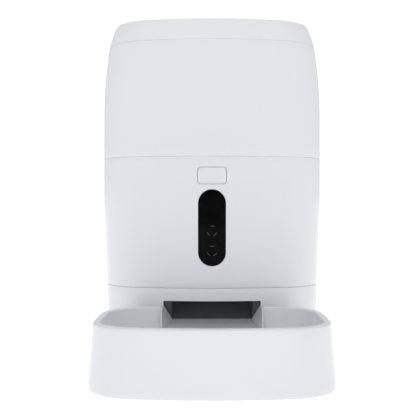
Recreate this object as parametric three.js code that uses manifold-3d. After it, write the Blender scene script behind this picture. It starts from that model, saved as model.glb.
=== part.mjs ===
// An automatic pet feeder with a camera: a tall bowed body of four stacked casings, and a food bowl.
// Millimetres, +Z up from the floor. The front faces -Y, with +X to the right as seen from the front.
import * as THREE from 'three';
import { mergeVertices } from 'three/addons/utils/BufferGeometryUtils.js';
import Module from 'manifold-3d';

const wasm = await Module();
wasm.setup();

// ---------------------------------------------------------------- driving dimensions

// Body in plan
const bodyHalfWidth = 116;
const bodyFront = -30.3;
const bodyDepth = 190;
const frontBow = 350;
const frontCorner = 53;
const rearBow = 1200;
const rearCorner = 42;

// Body in height, from the floor up
const footHeight = 4;
const housingHeight = 132;
const tankHeight = 118.3;

// How the sides draw in towards the foot and the lid
const leanDrop = 42;
const footLean = 5.2;
const shoulderDrop = 72;
const shoulderLean = 5.6;
const shoulderCurve = 1.8;
const lidEdgeInset = 8.9;
const lidEdgeHeight = 22.8;
const lidEdgeSlope = 5.8;
const lidEdgeSag = 0.7;
const lidCrown = 0.9;
const crownFlat = 0.35;

// Walls and fits
const wall = 2.5;
const seam = 0.6;
const lipThickness = 1.5;
const gap = 0.3;
const runningGap = 0.3;

// Food bowl
const bowlHalfWidth = 104.6;
const bowlLength = 128.7;
const bowlHeight = 57;
const bowlBow = 500;
const bowlCorner = 42;
const bowlRearCorner = 40;
const bowlFlare = 4.4;
const bowlRim = 6.5;
const bowlDraft = 9;
const bowlFloor = 12;
const bowlSkin = 2.4;
const bowlToBody = 0.8;

// Chute
const chuteHalfWidth = 49;
const chuteInnerHalfWidth = 41.5;
const chuteOutletHalfWidth = 28.5;
const chuteWall = 2;
const chuteAboveBowl = 5;
const baseAboveChute = 13;
const chuteLip = 20;
const chuteReach = 8;
const chuteBend = 30.5;
const chuteBendHeight = 40;
const chuteRoofReach = 8;
const notchGap = 0.5;
const sensorHoleRadius = 2;
const sensorShare = 0.8;
const sensorSize = 6;

// Metering unit
const rotorRadius = 58.5;
const rotorHeight = 32;
const rotorClearance = 3;
const bladeCount = 6;
const bladeThickness = 2.2;
const hubRadius = 10;
const shaftRadius = 4;
const meteringWall = 2.5;
const meteringToRear = 4;
const meteringDeck = 3;
const shelfThickness = 1.8;
const meteringDrop = 58;
const outletInner = 27;
const outletHalfAngle = 0.5;
const baffleHalfAngle = 0.62;
const baffleThickness = 1.8;
const stirrerReach = 34;
const stirrerHeight = 22;
const funnelRise = 55;

// Gear train
const gearModule = 1;
const driveTeeth = 32;
const idlerTeeth = 20;
const pinionTeeth = 12;
const gearWidth = 8;
const gearBacklash = 0.35;
const caseWall = 2;
const caseDepth = 24;
const idlerDirection = 0.85;
const pinionDirection = 0.3;
const bushRadius = 5.8;
const axleRadius = 2;
const motorShaftRadius = 2;
const lugHeight = 6;
const motorRadius = 18.5;
const motorLength = 44;

// Front panel
const windowHalfWidth = 14;
const windowAboveSeam = 22;
const windowBelowButton = 5.5;
const windowThickness = 2;
const lensRadius = 5.2;
const lensPitch = 20;
const lensAboveEnd = 15.5;
const buttonWidth = 28.4;
const buttonHeight = 16.4;
const buttonCorner = 3;
const buttonDrop = 19.3;
const buttonTravel = 0.8;
const boardThickness = 1.6;
const boardBehindFront = 17;
const boardBelowLamp = 8;
const switchHeight = 5;

// Lid
const plugDepth = 17;
const plugGap = 1;
const linerThickness = 2;
const sealThickness = 1.6;
const hingeRadius = 3.2;
const hingePinRadius = 1.5;
const hingeHalfLength = 44;
const hingeKnuckle = 14;
const lockPadWidth = 26;
const lockPadLength = 14;
const lockPadCorner = 3;
const lockMargin = 2;
const lockSetback = 36;
const lockPocketDepth = 3.4;
const lockTravel = 4.5;
const lockStemHalfWidth = 7;
const lockStemLength = 5;
const boltWidth = 20;
const boltHeight = 3.5;
const boltLength = 36;
const boltStandOff = 1;
const boltAbovePlate = 0.5;
const catchDepth = 4;
const catchHeight = 2.2;
const desiccantRadius = 32;
const desiccantHeight = 18;

// Battery bay for three large round cells
const cellDiameter = 34.2;
const cellLength = 61.5;
const cellCount = 3;
const cellSlack = 2;
const contactRoom = 6;
const contactThickness = 0.6;
const bayWall = 2;
const bayToRear = 6;
const plateThickness = 4;
const doorThickness = 1.9;
const doorOverlap = 3;
const doorTravel = 9;

// Feet, screws and rear sockets
const footRadius = 9;
const footInset = 28;
const frontFootSetback = 48;
const footPocket = 1.2;
const screwRadius = 1.5;
const screwHeadRadius = 3;
const screwHead = 2;
const screwInset = 45;
const screwLength = 14;
const postHeight = 26;
const inletRadius = 5.5;
const inletLevel = 30;
const inletX = -68;
const speakerRadius = 18;
const speakerRise = 33;
const speakerX = 52;
const mainBoardX = -30;
const mainBoardHeight = 48;
const mainBoardBelowFloor = 13;
const microphoneX = 20;

// ---------------------------------------------------------------- levels and places worked out from them

const bodyRear = bodyFront + bodyDepth;
const chuteTop = bowlHeight + chuteAboveBowl;
const baseTop = chuteTop + baseAboveChute;
const housingTop = baseTop + housingHeight;
const tankTop = housingTop + tankHeight;
const lidTop = tankTop + lidEdgeHeight + lidCrown;
const leanLevel = housingTop - leanDrop;
const shoulderLevel = tankTop - shoulderDrop;
const funnelTop = housingTop + funnelRise;
const buttonLevel = housingTop - buttonDrop;
const windowBottom = baseTop + windowAboveSeam;
const windowTop = buttonLevel - buttonHeight / 2 - windowBelowButton;
const windowHeight = windowTop - windowBottom;
const windowLevel = (windowTop + windowBottom) / 2;
const speakerLevel = baseTop + speakerRise;
const meteringRadius = rotorRadius + rotorClearance + meteringWall;
const axisY = bodyRear - wall - meteringToRear - meteringRadius;
const deckTop = housingTop - 4;
const meteringFloor = deckTop - meteringDrop;
const caseBottom = meteringFloor - caseDepth;
const gearBottom = caseBottom + caseWall + 2;
const throatRadius = rotorRadius - 3;
const throatLevel = meteringFloor + meteringWall + rotorHeight + 8;
const frontInner = bodyFront + wall;
const boardFront = frontInner + boardBehindFront;
const boltLevel = tankTop - plugDepth + linerThickness + boltAbovePlate;
const catchLevel = boltLevel + boltHeight + gap;

// ---------------------------------------------------------------- shape helpers

// A closed three.js geometry as a solid that can be cut and joined.
function solid(geometry) {
  const plain = geometry.index ? geometry.toNonIndexed() : geometry.clone();
  plain.deleteAttribute('normal');
  plain.deleteAttribute('uv');
  const merged = mergeVertices(plain, 1e-4);
  return new wasm.Manifold(
    new wasm.Mesh({
      numProp: 3,
      vertProperties: merged.attributes.position.array,
      triVerts: new Uint32Array(merged.index.array),
    }),
  );
}

// A solid as a three.js geometry again.
function geometryOf(made) {
  const mesh = made.getMesh();
  const geometry = new THREE.BufferGeometry();
  geometry.setAttribute('position', new THREE.BufferAttribute(mesh.vertProperties, 3));
  geometry.setIndex(new THREE.BufferAttribute(mesh.triVerts, 1));
  return geometry;
}

function union(...solids) {
  return solids.reduce((whole, piece) => whole.add(piece));
}

function cut(from, ...tools) {
  return tools.reduce((whole, tool) => whole.subtract(tool), from);
}

// A block between two opposite corners.
function block(low, high) {
  const [width, depth, height] = high.map((value, axis) => value - low[axis]);
  const geometry = new THREE.BoxGeometry(width, depth, height);
  geometry.translate(low[0] + width / 2, low[1] + depth / 2, low[2] + height / 2);
  return solid(geometry);
}

// A round bar of one radius, or a cone of two, along Z from z0 to z1.
function upright(x, y, z0, z1, radius, topRadius = radius, sides = 20) {
  const geometry = new THREE.CylinderGeometry(topRadius, radius, z1 - z0, sides);
  geometry.rotateX(Math.PI / 2);
  geometry.translate(x, y, (z0 + z1) / 2);
  return solid(geometry);
}

// A round bar along X.
function crossbar(y, z, x0, x1, radius, sides = 16) {
  const geometry = new THREE.CylinderGeometry(radius, radius, x1 - x0, sides);
  geometry.rotateZ(Math.PI / 2);
  geometry.translate((x0 + x1) / 2, y, z);
  return solid(geometry);
}

// A round bar along Y.
function throughbar(x, z, y0, y1, radius, sides = 20) {
  const geometry = new THREE.CylinderGeometry(radius, radius, y1 - y0, sides);
  geometry.translate(x, (y0 + y1) / 2, z);
  return solid(geometry);
}

// A plan shape raised from z0 to z1.
function raise(shape, z0, z1, curveSegments = 3) {
  const geometry = new THREE.ExtrudeGeometry(shape, { depth: z1 - z0, bevelEnabled: false, curveSegments });
  geometry.translate(0, 0, z0);
  return solid(geometry);
}

// A front-elevation shape pushed back from y0 to y1.
function push(shape, y0, y1, curveSegments = 2) {
  const geometry = new THREE.ExtrudeGeometry(shape, { depth: y1 - y0, bevelEnabled: false, curveSegments });
  geometry.rotateX(Math.PI / 2);
  geometry.translate(0, y1, 0);
  return solid(geometry);
}

// A rectangle with round corners about a centre.
function roundedRectangle(width, height, radius, x = 0, y = 0) {
  const shape = new THREE.Shape();
  const right = x + width / 2 - radius;
  const left = x - width / 2 + radius;
  const top = y + height / 2 - radius;
  const bottom = y - height / 2 + radius;
  shape.absarc(right, bottom, radius, -Math.PI / 2, 0);
  shape.absarc(right, top, radius, 0, Math.PI / 2);
  shape.absarc(left, top, radius, Math.PI / 2, Math.PI);
  shape.absarc(left, bottom, radius, Math.PI, 1.5 * Math.PI);
  shape.closePath();
  return shape;
}

// A plan whose front and rear are shallow arcs that run tangent into its corners, offset inwards by inset.
function bowedPlan({ halfWidth, front, rear, bow, corner, backBow, backCorner }, inset = 0) {
  const width = halfWidth - inset;
  const frontRadius = bow - inset;
  const cornerRadius = corner - inset;
  const backRadius = backBow - inset;
  const backCornerRadius = backCorner - inset;
  const bowCentre = front + bow;
  const backCentre = rear - backBow;
  const cornerX = width - cornerRadius;
  const backCornerX = width - backCornerRadius;
  const cornerY = bowCentre - Math.sqrt((frontRadius - cornerRadius) ** 2 - cornerX ** 2);
  const backCornerY = backCentre + Math.sqrt((backRadius - backCornerRadius) ** 2 - backCornerX ** 2);
  const turn = Math.atan2(cornerY - bowCentre, cornerX);
  const backTurn = Math.atan2(backCornerY - backCentre, backCornerX);
  const shape = new THREE.Shape();
  shape.absarc(0, bowCentre, frontRadius, -Math.PI - turn, turn);
  shape.absarc(cornerX, cornerY, cornerRadius, turn, 0);
  shape.absarc(backCornerX, backCornerY, backCornerRadius, 0, backTurn);
  shape.absarc(0, backCentre, backRadius, backTurn, Math.PI - backTurn);
  shape.absarc(-backCornerX, backCornerY, backCornerRadius, Math.PI - backTurn, Math.PI);
  shape.absarc(-cornerX, cornerY, cornerRadius, Math.PI, Math.PI - turn);
  return shape;
}

// The points of a plan at one level, scaled about a centre.
function ring(shape, z, detail, scale = 1, centre = new THREE.Vector2()) {
  const drawn = shape.getPoints(detail);
  const points = drawn.filter((point, index) => point.distanceTo(drawn.at(index - 1)) > 1e-6);
  return points.map(({ x, y }) => {
    return new THREE.Vector3(centre.x + scale * (x - centre.x), centre.y + scale * (y - centre.y), z);
  });
}

// A closed skin over rings of equal count, lowest first, each running counter-clockwise from above.
function loft(rings) {
  const count = rings[0].length;
  const flat = (points) => points.map(({ x, y, z }) => [x, y, z]).flat();
  const position = rings.flatMap(flat);
  const index = [];
  for (let level = 0; level + 1 < rings.length; level += 1) {
    for (let side = 0; side < count; side += 1) {
      const a = level * count + side;
      const b = level * count + ((side + 1) % count);
      index.push(a, b, b + count, a, b + count, a + count);
    }
  }
  const topStart = (rings.length - 1) * count;
  const face = (points) => {
    const flat = points.map(({ x, y }) => new THREE.Vector2(x, y));
    return THREE.ShapeUtils.triangulateShape(flat, []);
  };
  face(rings[0]).forEach(([a, b, c]) => index.push(a, c, b));
  face(rings.at(-1)).forEach(([a, b, c]) => index.push(topStart + a, topStart + b, topStart + c));
  const geometry = new THREE.BufferGeometry();
  geometry.setAttribute('position', new THREE.Float32BufferAttribute(position, 3));
  geometry.setIndex(index);
  return solid(geometry);
}

// ---------------------------------------------------------------- materials and the scene graph

function finish(colour, roughness, metalness = 0) {
  return new THREE.MeshStandardMaterial({ color: colour, roughness, metalness });
}

const whitePlastic = finish(0xeeeef1, 0.35);
const innerPlastic = finish(0xd5d6d8, 0.45);
const greyPlastic = finish(0x8e9094, 0.5);
const blackGloss = finish(0x030303, 0.08);
const blackPlastic = finish(0x151515, 0.5);
const softRubber = finish(0x3a3b3d, 0.85);
const paleSilicone = finish(0xdadcdd, 0.7);
const acetal = finish(0xe6e2d6, 0.4);
const steel = finish(0xb8babd, 0.28, 1);
const brass = finish(0xc9a552, 0.3, 1);
const boardGreen = finish(0x1d5a35, 0.45);

const feeder = new THREE.Group();

function add(name, made, material) {
  const mesh = new THREE.Mesh(geometryOf(made), material);
  mesh.name = name;
  feeder.add(mesh);
}

// ---------------------------------------------------------------- the body's outer form

const bodyPlan = {
  halfWidth: bodyHalfWidth,
  front: bodyFront,
  rear: bodyRear,
  bow: frontBow,
  corner: frontCorner,
  backBow: rearBow,
  backCorner: rearCorner,
};
const planCentre = new THREE.Vector2(0, bodyFront + bodyDepth / 2);
const planDetail = 3;

// How far the body's side is drawn in at a height.
function lean(z) {
  const low = footLean * Math.max(0, (leanLevel - z) / leanLevel);
  const high = shoulderLean * Math.max(0, (z - shoulderLevel) / (tankTop - shoulderLevel)) ** shoulderCurve;
  return low + high;
}

function bodyRing(z, inset = 0) {
  return ring(bowedPlan(bodyPlan, lean(z) + inset), z, planDetail);
}

// The levels between which the body's side is close to straight.
const sideLevels = [leanLevel, shoulderLevel, 0.35, 0.7].map((value) => {
  return value > 1 ? value : shoulderLevel + value * (tankTop - shoulderLevel);
});

// A stretch of the body between two levels, its surface inset by some depth.
function bodyStretch(z0, z1, inset = 0) {
  const between = sideLevels.filter((level) => level > z0 + 0.5 && level < z1 - 0.5);
  return loft([z0, ...between, z1].map((level) => bodyRing(level, inset)));
}

// A casing: the stretch between two levels, open at both ends.
function casing(z0, z1) {
  return cut(bodyStretch(z0, z1), bodyStretch(z0 - 1, z1 + 1, wall));
}

// The lid's outside: sides that turn over into a shallow crown. Lowered copies give its inside.
function lidForm(inset, drop, from) {
  const edge = new THREE.QuadraticBezierCurve(
    new THREE.Vector2(lean(tankTop), tankTop),
    new THREE.Vector2(lean(tankTop) + lidEdgeSlope, tankTop + lidEdgeHeight - lidEdgeSag),
    new THREE.Vector2(lean(tankTop) + lidEdgeInset, tankTop + lidEdgeHeight),
  );
  const points = edge.getPoints(4).filter(({ y }) => y - drop > from + 0.5);
  const rings = [ring(bowedPlan(bodyPlan, lean(tankTop) + inset), from, planDetail)];
  points.forEach(({ x, y }) => rings.push(ring(bowedPlan(bodyPlan, x + inset), y - drop, planDetail)));
  const last = bowedPlan(bodyPlan, lean(tankTop) + lidEdgeInset + inset);
  for (const scale of [0.75, crownFlat]) {
    const rise = (lidCrown * (1 - scale ** 2)) / (1 - crownFlat ** 2);
    rings.push(ring(last, tankTop + lidEdgeHeight + rise - drop, planDetail, scale, planCentre));
  }
  return loft(rings);
}

// ---------------------------------------------------------------- chute

// Sections across the food's path: a front lip, the bend inside the body and the outlet under the rotor.
const chuteFront = bodyFront + lean(chuteTop) - bowlToBody - bowlRim - chuteReach;
const outletFront = axisY - rotorRadius + 1;
const outletRear = axisY - outletInner + 1;
const outletLevel = meteringFloor - gap;
const bodyFaceY = bodyFront + lean(chuteTop);
const chuteSections = [
  { floor: [chuteFront, chuteLip], roof: [chuteFront, chuteTop], half: chuteHalfWidth },
  {
    floor: [bodyFront + chuteBend, chuteBendHeight],
    roof: [bodyFaceY + chuteRoofReach, chuteTop],
    half: chuteInnerHalfWidth,
  },
  { floor: [outletRear, outletLevel], roof: [outletFront, outletLevel], half: chuteOutletHalfWidth },
];

// Where the falling food is watched: part of the way up from the bend to the outlet.
const mix = THREE.MathUtils.lerp;
const middle = ({ floor, roof }) => [(floor[0] + roof[0]) / 2, (floor[1] + roof[1]) / 2];
const [bendMiddle, outletMiddle] = [middle(chuteSections[1]), middle(chuteSections[2])];
const sensorY = mix(bendMiddle[0], outletMiddle[0], sensorShare);
const sensorLevel = mix(bendMiddle[1], outletMiddle[1], sensorShare);
const sensorHalfWidth = mix(chuteInnerHalfWidth, chuteOutletHalfWidth, sensorShare);
const chuteTaper =
  (chuteInnerHalfWidth - chuteOutletHalfWidth) /
  Math.hypot(outletMiddle[0] - bendMiddle[0], outletMiddle[1] - bendMiddle[1]);

// The chute's path as a closed skin, grown outwards by a wall and run on past both ends.
function chutePath(grow, overrun) {
  const rings = chuteSections.map(({ floor, roof, half }) => {
    const low = new THREE.Vector2(...floor);
    const high = new THREE.Vector2(...roof);
    const across = low.clone().sub(high).normalize().multiplyScalar(grow);
    low.add(across);
    high.sub(across);
    const side = half + grow;
    return [[-side, low], [side, low], [side, high], [-side, high]].map(([x, at]) => {
      return new THREE.Vector3(x, at.x, at.y);
    });
  });
  if (overrun) {
    rings.unshift(rings[0].map((point) => point.clone().setY(point.y - overrun)));
    rings.push(rings.at(-1).map((point) => point.clone().setZ(point.z + overrun)));
  }
  const count = rings[0].length;
  const index = [0, 2, 1, 0, 3, 2];
  for (let level = 0; level + 1 < rings.length; level += 1) {
    for (let side = 0; side < count; side += 1) {
      const a = level * count + side;
      const b = level * count + ((side + 1) % count);
      index.push(a, b, b + count, a, b + count, a + count);
    }
  }
  const top = (rings.length - 1) * count;
  index.push(top, top + 1, top + 2, top, top + 2, top + 3);
  const geometry = new THREE.BufferGeometry();
  const flat = rings.flat().flatMap(({ x, y, z }) => [x, y, z]);
  geometry.setAttribute('position', new THREE.Float32BufferAttribute(flat, 3));
  geometry.setIndex(index);
  const made = solid(geometry);
  return made.volume() < 0 ? solid(flipped(geometry)) : made;
}

// The same skin with its faces turned round.
function flipped(geometry) {
  const turned = geometry.clone();
  const index = Array.from(geometry.index.array);
  for (let corner = 0; corner < index.length; corner += 3) {
    [index[corner + 1], index[corner + 2]] = [index[corner + 2], index[corner + 1]];
  }
  turned.setIndex(index);
  return turned;
}

// In front of the body only the cheeks and the ramp go on, no higher than the bowl's rim.
function chute() {
  const aboveBowl = block(
    [-chuteHalfWidth - 10, chuteFront - 5, bowlHeight - 1],
    [chuteHalfWidth + 10, bodyFaceY + wall + gap, chuteTop + 10],
  );
  const beam = crossbar(sensorY, sensorLevel, -chuteHalfWidth, chuteHalfWidth, sensorHoleRadius, 12);
  return cut(chutePath(chuteWall, 0), chutePath(0, 20), aboveBowl, beam);
}
add('chute', chute(), whitePlastic);

// The pair that watches the falling food, one outside each cheek.
for (const [name, side] of [['food_beam_emitter', -1], ['food_beam_receiver', 1]]) {
  const near = side * (sensorHalfWidth + chuteWall + 2 * chuteTaper * sensorSize);
  const far = near + side * sensorSize;
  const body = block(
    [Math.min(near, far), sensorY - sensorSize / 2, sensorLevel - sensorSize / 2],
    [Math.max(near, far), sensorY + sensorSize / 2, sensorLevel + sensorSize / 2],
  );
  add(name, body, blackPlastic);
}

// ---------------------------------------------------------------- base

const plateTop = footHeight + plateThickness;
const footPlaces = [-1, 1].flatMap((side) => [
  [side * (bodyHalfWidth - footInset), bodyFront + frontFootSetback],
  [side * (bodyHalfWidth - footInset), bodyRear - footInset],
]);
const screwPlaces = [-1, 1].flatMap((side) => [
  [side * (bodyHalfWidth - screwInset), bodyFront + frontFootSetback - 8],
  [side * (bodyHalfWidth - screwInset), bodyRear - footInset - 4],
]);

// A narrow collar that stands up inside the casing above.
function locatingLip(level) {
  const outer = bodyStretch(level - 5, level + 2.5, wall + gap);
  const inner = bodyStretch(level - 6, level + 3, wall + gap + lipThickness);
  const root = cut(bodyStretch(level - 5, level - 3, wall - 0.5), inner);
  return union(cut(outer, inner), root);
}

// A post for one bottom screw, held to the side wall by a rib.
function screwPost([x, y]) {
  const outward = Math.sign(x);
  const rib = block(
    [Math.min(x, outward * bodyHalfWidth), y - 1, plateTop + gap],
    [Math.max(x, outward * bodyHalfWidth), y + 1, plateTop + postHeight],
  ).intersect(bodyStretch(footHeight, baseTop, wall / 2));
  const post = upright(x, y, plateTop + gap, plateTop + postHeight, screwRadius + 3, screwRadius + 3, 16);
  return cut(
    union(rib, post),
    upright(x, y, 0, plateTop + screwLength, screwRadius + gap, screwRadius + gap, 10),
  );
}

function baseShell() {
  const mouth = block(
    [-chuteHalfWidth - chuteWall - gap, bodyFront - 5, chuteLip - chuteWall - gap],
    [chuteHalfWidth + chuteWall + gap, bodyFaceY + 12, chuteTop + chuteWall + gap],
  );
  const face = block(
    [-chuteHalfWidth - chuteWall - gap, bodyFront - 5, chuteLip - chuteWall - gap],
    [chuteHalfWidth + chuteWall + gap, bodyFaceY + 12, bowlHeight - 1 + gap],
  );
  const opening = block(
    [-chuteHalfWidth, bodyFront - 5, chuteLip],
    [chuteHalfWidth, bodyFaceY + 12, chuteTop],
  );
  const roofSeat = mouth.intersect(block([-200, bodyFaceY + wall, 0], [200, bodyFaceY + 20, 200]));
  const inlet = throughbar(inletX, inletLevel, bodyRear - 20, bodyRear + 2, inletRadius + gap, 24);
  const shell = cut(casing(footHeight, baseTop - seam / 2), face, opening, roofSeat, inlet);
  return union(shell, locatingLip(baseTop), ...screwPlaces.map(screwPost));
}
add('base_shell', baseShell(), whitePlastic);

const bayHalfWidth = (cellCount * cellDiameter + cellSlack) / 2;
const bayRear = bodyRear - lean(footHeight) - wall - bayToRear;
const bayFront = bayRear - cellLength - contactRoom;
const bayTop = footHeight + doorThickness + gap + cellDiameter + cellSlack;

function bottomPlate() {
  const plate = raise(bowedPlan(bodyPlan, lean(footHeight) + wall + gap), footHeight, plateTop);
  const bay = block(
    [-bayHalfWidth - bayWall, bayFront - bayWall, footHeight],
    [bayHalfWidth + bayWall, bayRear + bayWall, bayTop + bayWall],
  );
  const room = block([-bayHalfWidth, bayFront, 0], [bayHalfWidth, bayRear, bayTop]);
  const doorPocket = block(
    [-bayHalfWidth - doorOverlap - gap, bayFront - doorOverlap - doorTravel - gap, 0],
    [bayHalfWidth + doorOverlap + gap, bayRear + doorOverlap + gap, footHeight + doorThickness + gap],
  );
  const pockets = footPlaces.map(([x, y]) => upright(x, y, 0, footHeight + footPocket, footRadius + gap));
  const holes = screwPlaces.flatMap(([x, y]) => [
    upright(x, y, 0, plateTop + 1, screwRadius + gap, screwRadius + gap, 10),
    upright(x, y, 0, footHeight + screwHead, screwHeadRadius + gap, screwHeadRadius + gap, 12),
  ]);
  return cut(union(plate, bay), room, doorPocket, ...pockets, ...holes);
}
add('bottom_plate', bottomPlate(), greyPlastic);

// The battery door slides forward in its pocket; ribs on its underside give the thumb a hold.
function batteryDoor() {
  const door = block(
    [-bayHalfWidth - doorOverlap, bayFront - doorOverlap, footHeight],
    [bayHalfWidth + doorOverlap, bayRear + doorOverlap, footHeight + doorThickness],
  );
  const grooves = [0, 1, 2, 3].map((row) => {
    const y = bayRear - 6 - 4 * row;
    return block([-12, y, 0], [12, y + 1.6, footHeight + 0.7]);
  });
  return cut(door, ...grooves);
}
add('battery_door', batteryDoor(), greyPlastic);

// One contact strip at each end of the bay, with a dome for each cell.
const contacts = [
  ['battery_contact_front', bayFront, 1],
  ['battery_contact_rear', bayRear, -1],
];
for (const [name, y, towards] of contacts) {
  const near = y + towards * gap;
  const far = near + towards * contactThickness;
  const level = footHeight + doorThickness + gap + (cellDiameter + cellSlack) / 2;
  const strip = block(
    [-bayHalfWidth + 2, Math.min(near, far), level - 9],
    [bayHalfWidth - 2, Math.max(near, far), level + 9],
  );
  const domes = Array.from({ length: cellCount }, (_, cell) => {
    const x = (cell - (cellCount - 1) / 2) * cellDiameter;
    return throughbar(
      x,
      level,
      Math.min(near, far + towards * 1.5),
      Math.max(near, far + towards * 1.5),
      5,
      16,
    );
  });
  add(name, union(strip, ...domes), steel);
}

footPlaces.forEach(([x, y], index) => {
  const foot = union(
    upright(x, y, 0, 1, footRadius - 0.8, footRadius),
    upright(x, y, 1, footHeight + footPocket - gap, footRadius),
  );
  add(`rubber_foot_${index + 1}`, foot, softRubber);
});

// A pan-head screw pointing up, its head's underside at level z.
function screw(x, y, z, length) {
  return union(
    cut(
      upright(x, y, z - screwHead + gap, z, screwHeadRadius, screwHeadRadius, 12),
      block([x - 2, y - 0.4, z - screwHead], [x + 2, y + 0.4, z - screwHead + 1]),
    ),
    upright(x, y, z - 0.5, z + length, screwRadius, screwRadius, 8),
  );
}

screwPlaces.forEach(([x, y], index) => {
  add(`bottom_screw_${index + 1}`, screw(x, y, footHeight + screwHead - gap, screwLength), steel);
});

// The low-voltage inlet in the back of the base: a socket with its centre pin.
function powerInlet() {
  const rearFace = bodyRear - lean(inletLevel) - inletX ** 2 / (2 * rearBow) - 0.4;
  const barrel = throughbar(inletX, inletLevel, rearFace - 11, rearFace, inletRadius, 24);
  const body = block(
    [inletX - 7, rearFace - 13, inletLevel - 7],
    [inletX + 7, rearFace - 4, inletLevel + 7],
  );
  const bore = throughbar(inletX, inletLevel, rearFace - 9.5, rearFace + 1, inletRadius - 2.4, 20);
  const pin = throughbar(inletX, inletLevel, rearFace - 10, rearFace - 1.5, 0.9, 12);
  return union(cut(union(barrel, body), bore), pin);
}
add('power_inlet', powerInlet(), blackPlastic);

// ---------------------------------------------------------------- main housing and its front panel

const windowFront = 0.15;
const windowSegments = 5;
const windowOutline = roundedRectangle(
  2 * windowHalfWidth,
  windowHeight,
  windowHalfWidth - 0.01,
  0,
  windowLevel,
);
const panelFront = bodyFront - 5;

// An elevation outline pressed through the body's front wall, kept between two depths under its surface.
function frontPiece(outline, from, to, curveSegments = 2) {
  const whole = bodyStretch(baseTop - 5, housingTop + 5, from);
  return cut(
    push(outline, panelFront, bodyFront + 25, curveSegments).intersect(whole),
    bodyStretch(baseTop - 6, housingTop + 6, to),
  );
}

function mainHousing() {
  const low = baseTop + seam / 2;
  const high = housingTop - seam / 2;
  const pad = frontPiece(
    roundedRectangle(2 * windowHalfWidth + 6, windowHeight + 6, windowHalfWidth + 2.9, 0, windowLevel),
    wall - 0.5,
    windowFront + windowThickness + gap + 2,
  );
  const recess = cut(
    push(windowOutline, panelFront, bodyFront + 10, windowSegments),
    bodyStretch(baseTop - 6, housingTop + 6, windowFront + windowThickness + gap),
  );
  const aperture = push(
    roundedRectangle(2 * windowHalfWidth - 7, windowHeight - 7, windowHalfWidth - 3.6, 0, windowLevel),
    panelFront,
    bodyFront + 15,
  );
  const buttonHole = push(
    roundedRectangle(buttonWidth + 2 * gap, buttonHeight + 2 * gap, buttonCorner + gap, 0, buttonLevel),
    panelFront,
    bodyFront + 10,
  );
  const shelf = cut(
    bodyStretch(deckTop - meteringDeck - gap - shelfThickness, deckTop - meteringDeck - gap, wall - 0.5),
    bodyStretch(deckTop - meteringDeck - 10, deckTop, wall + meteringToRear - 1),
  );
  const slots = [-2, -1, 0, 1, 2].map((row) => {
    const slot = roundedRectangle(
      2 * speakerRadius - 8 - 4 * Math.abs(row),
      2.2,
      1.05,
      speakerX,
      speakerLevel + 5 * row,
    );
    return push(slot, bodyRear - 20, bodyRear + 2, 3);
  });
  const soundHole = throughbar(microphoneX, speakerLevel, bodyRear - 12, bodyRear + 2, 0.9, 10);
  return cut(union(casing(low, high), pad, shelf), recess, aperture, buttonHole, ...slots, soundHole);
}
add('main_housing', mainHousing(), whitePlastic);

const windowPlate = roundedRectangle(
  2 * (windowHalfWidth - gap),
  windowHeight - 2 * gap,
  windowHalfWidth - gap - 0.01,
  0,
  windowLevel,
);
add(
  'camera_window',
  frontPiece(windowPlate, windowFront, windowFront + windowThickness, windowSegments),
  blackGloss,
);

// The feed button: a cap flush with the housing, a flange that holds it in and a plunger to its switch.
const switchTop = boardFront - switchHeight;
function feedButton() {
  const outline = roundedRectangle(buttonWidth, buttonHeight, buttonCorner, 0, buttonLevel);
  const flange = roundedRectangle(buttonWidth + 3, buttonHeight + 3, buttonCorner + 1, 0, buttonLevel);
  const flangeFront = frontInner + 1;
  return union(
    frontPiece(outline, 0.1, 2.2),
    push(
      roundedRectangle(buttonWidth - 3, buttonHeight - 3, buttonCorner, 0, buttonLevel),
      bodyFront + 1.5,
      flangeFront + 0.5,
    ),
    push(flange, flangeFront, flangeFront + 1.2),
    throughbar(0, buttonLevel, flangeFront + 1, switchTop - buttonTravel - gap, 2.5, 16),
  );
}
add('feed_button', feedButton(), whitePlastic);

function feedSwitch() {
  return union(
    block([-3, switchTop + 1, buttonLevel - 3], [3, boardFront - 0.1, buttonLevel + 3]),
    throughbar(0, buttonLevel, switchTop, switchTop + 1.5, 1.7, 16),
  );
}
add('feed_switch', feedSwitch(), blackPlastic);

const lensLevels = [windowBottom + lensAboveEnd + lensPitch, windowBottom + lensAboveEnd];
add(
  'front_board',
  block(
    [-windowHalfWidth - 2, boardFront + 0.1, lensLevels[1] - boardBelowLamp],
    [windowHalfWidth + 2, boardFront + 0.1 + boardThickness, buttonLevel + buttonHeight / 2],
  ),
  boardGreen,
);

// A lens barrel on its square holder, just behind the window.
function lensBarrel(level, holder, bore) {
  const tip = bodyFront + lean(level) + windowFront + windowThickness + 1;
  const body = block([-holder, boardFront - 5, level - holder], [holder, boardFront - 0.2, level + holder]);
  const barrel = throughbar(0, level, tip, boardFront - 4, lensRadius - 0.3, 28);
  return cut(union(body, barrel), throughbar(0, level, tip - 1, tip + 2, bore, 24));
}
add('camera_lens', lensBarrel(lensLevels[0], 6.5, 3.4), blackPlastic);
add('infrared_lamp', lensBarrel(lensLevels[1], 6, 2.6), blackPlastic);

const rearInner = bodyRear - lean(speakerLevel) - wall - 2;
const mainBoardTop = meteringFloor - mainBoardBelowFloor;
add(
  'main_board',
  block(
    [mainBoardX - 32, rearInner - 9, mainBoardTop - mainBoardHeight],
    [mainBoardX + 32, rearInner - 9 + boardThickness, mainBoardTop],
  ),
  boardGreen,
);

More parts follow.
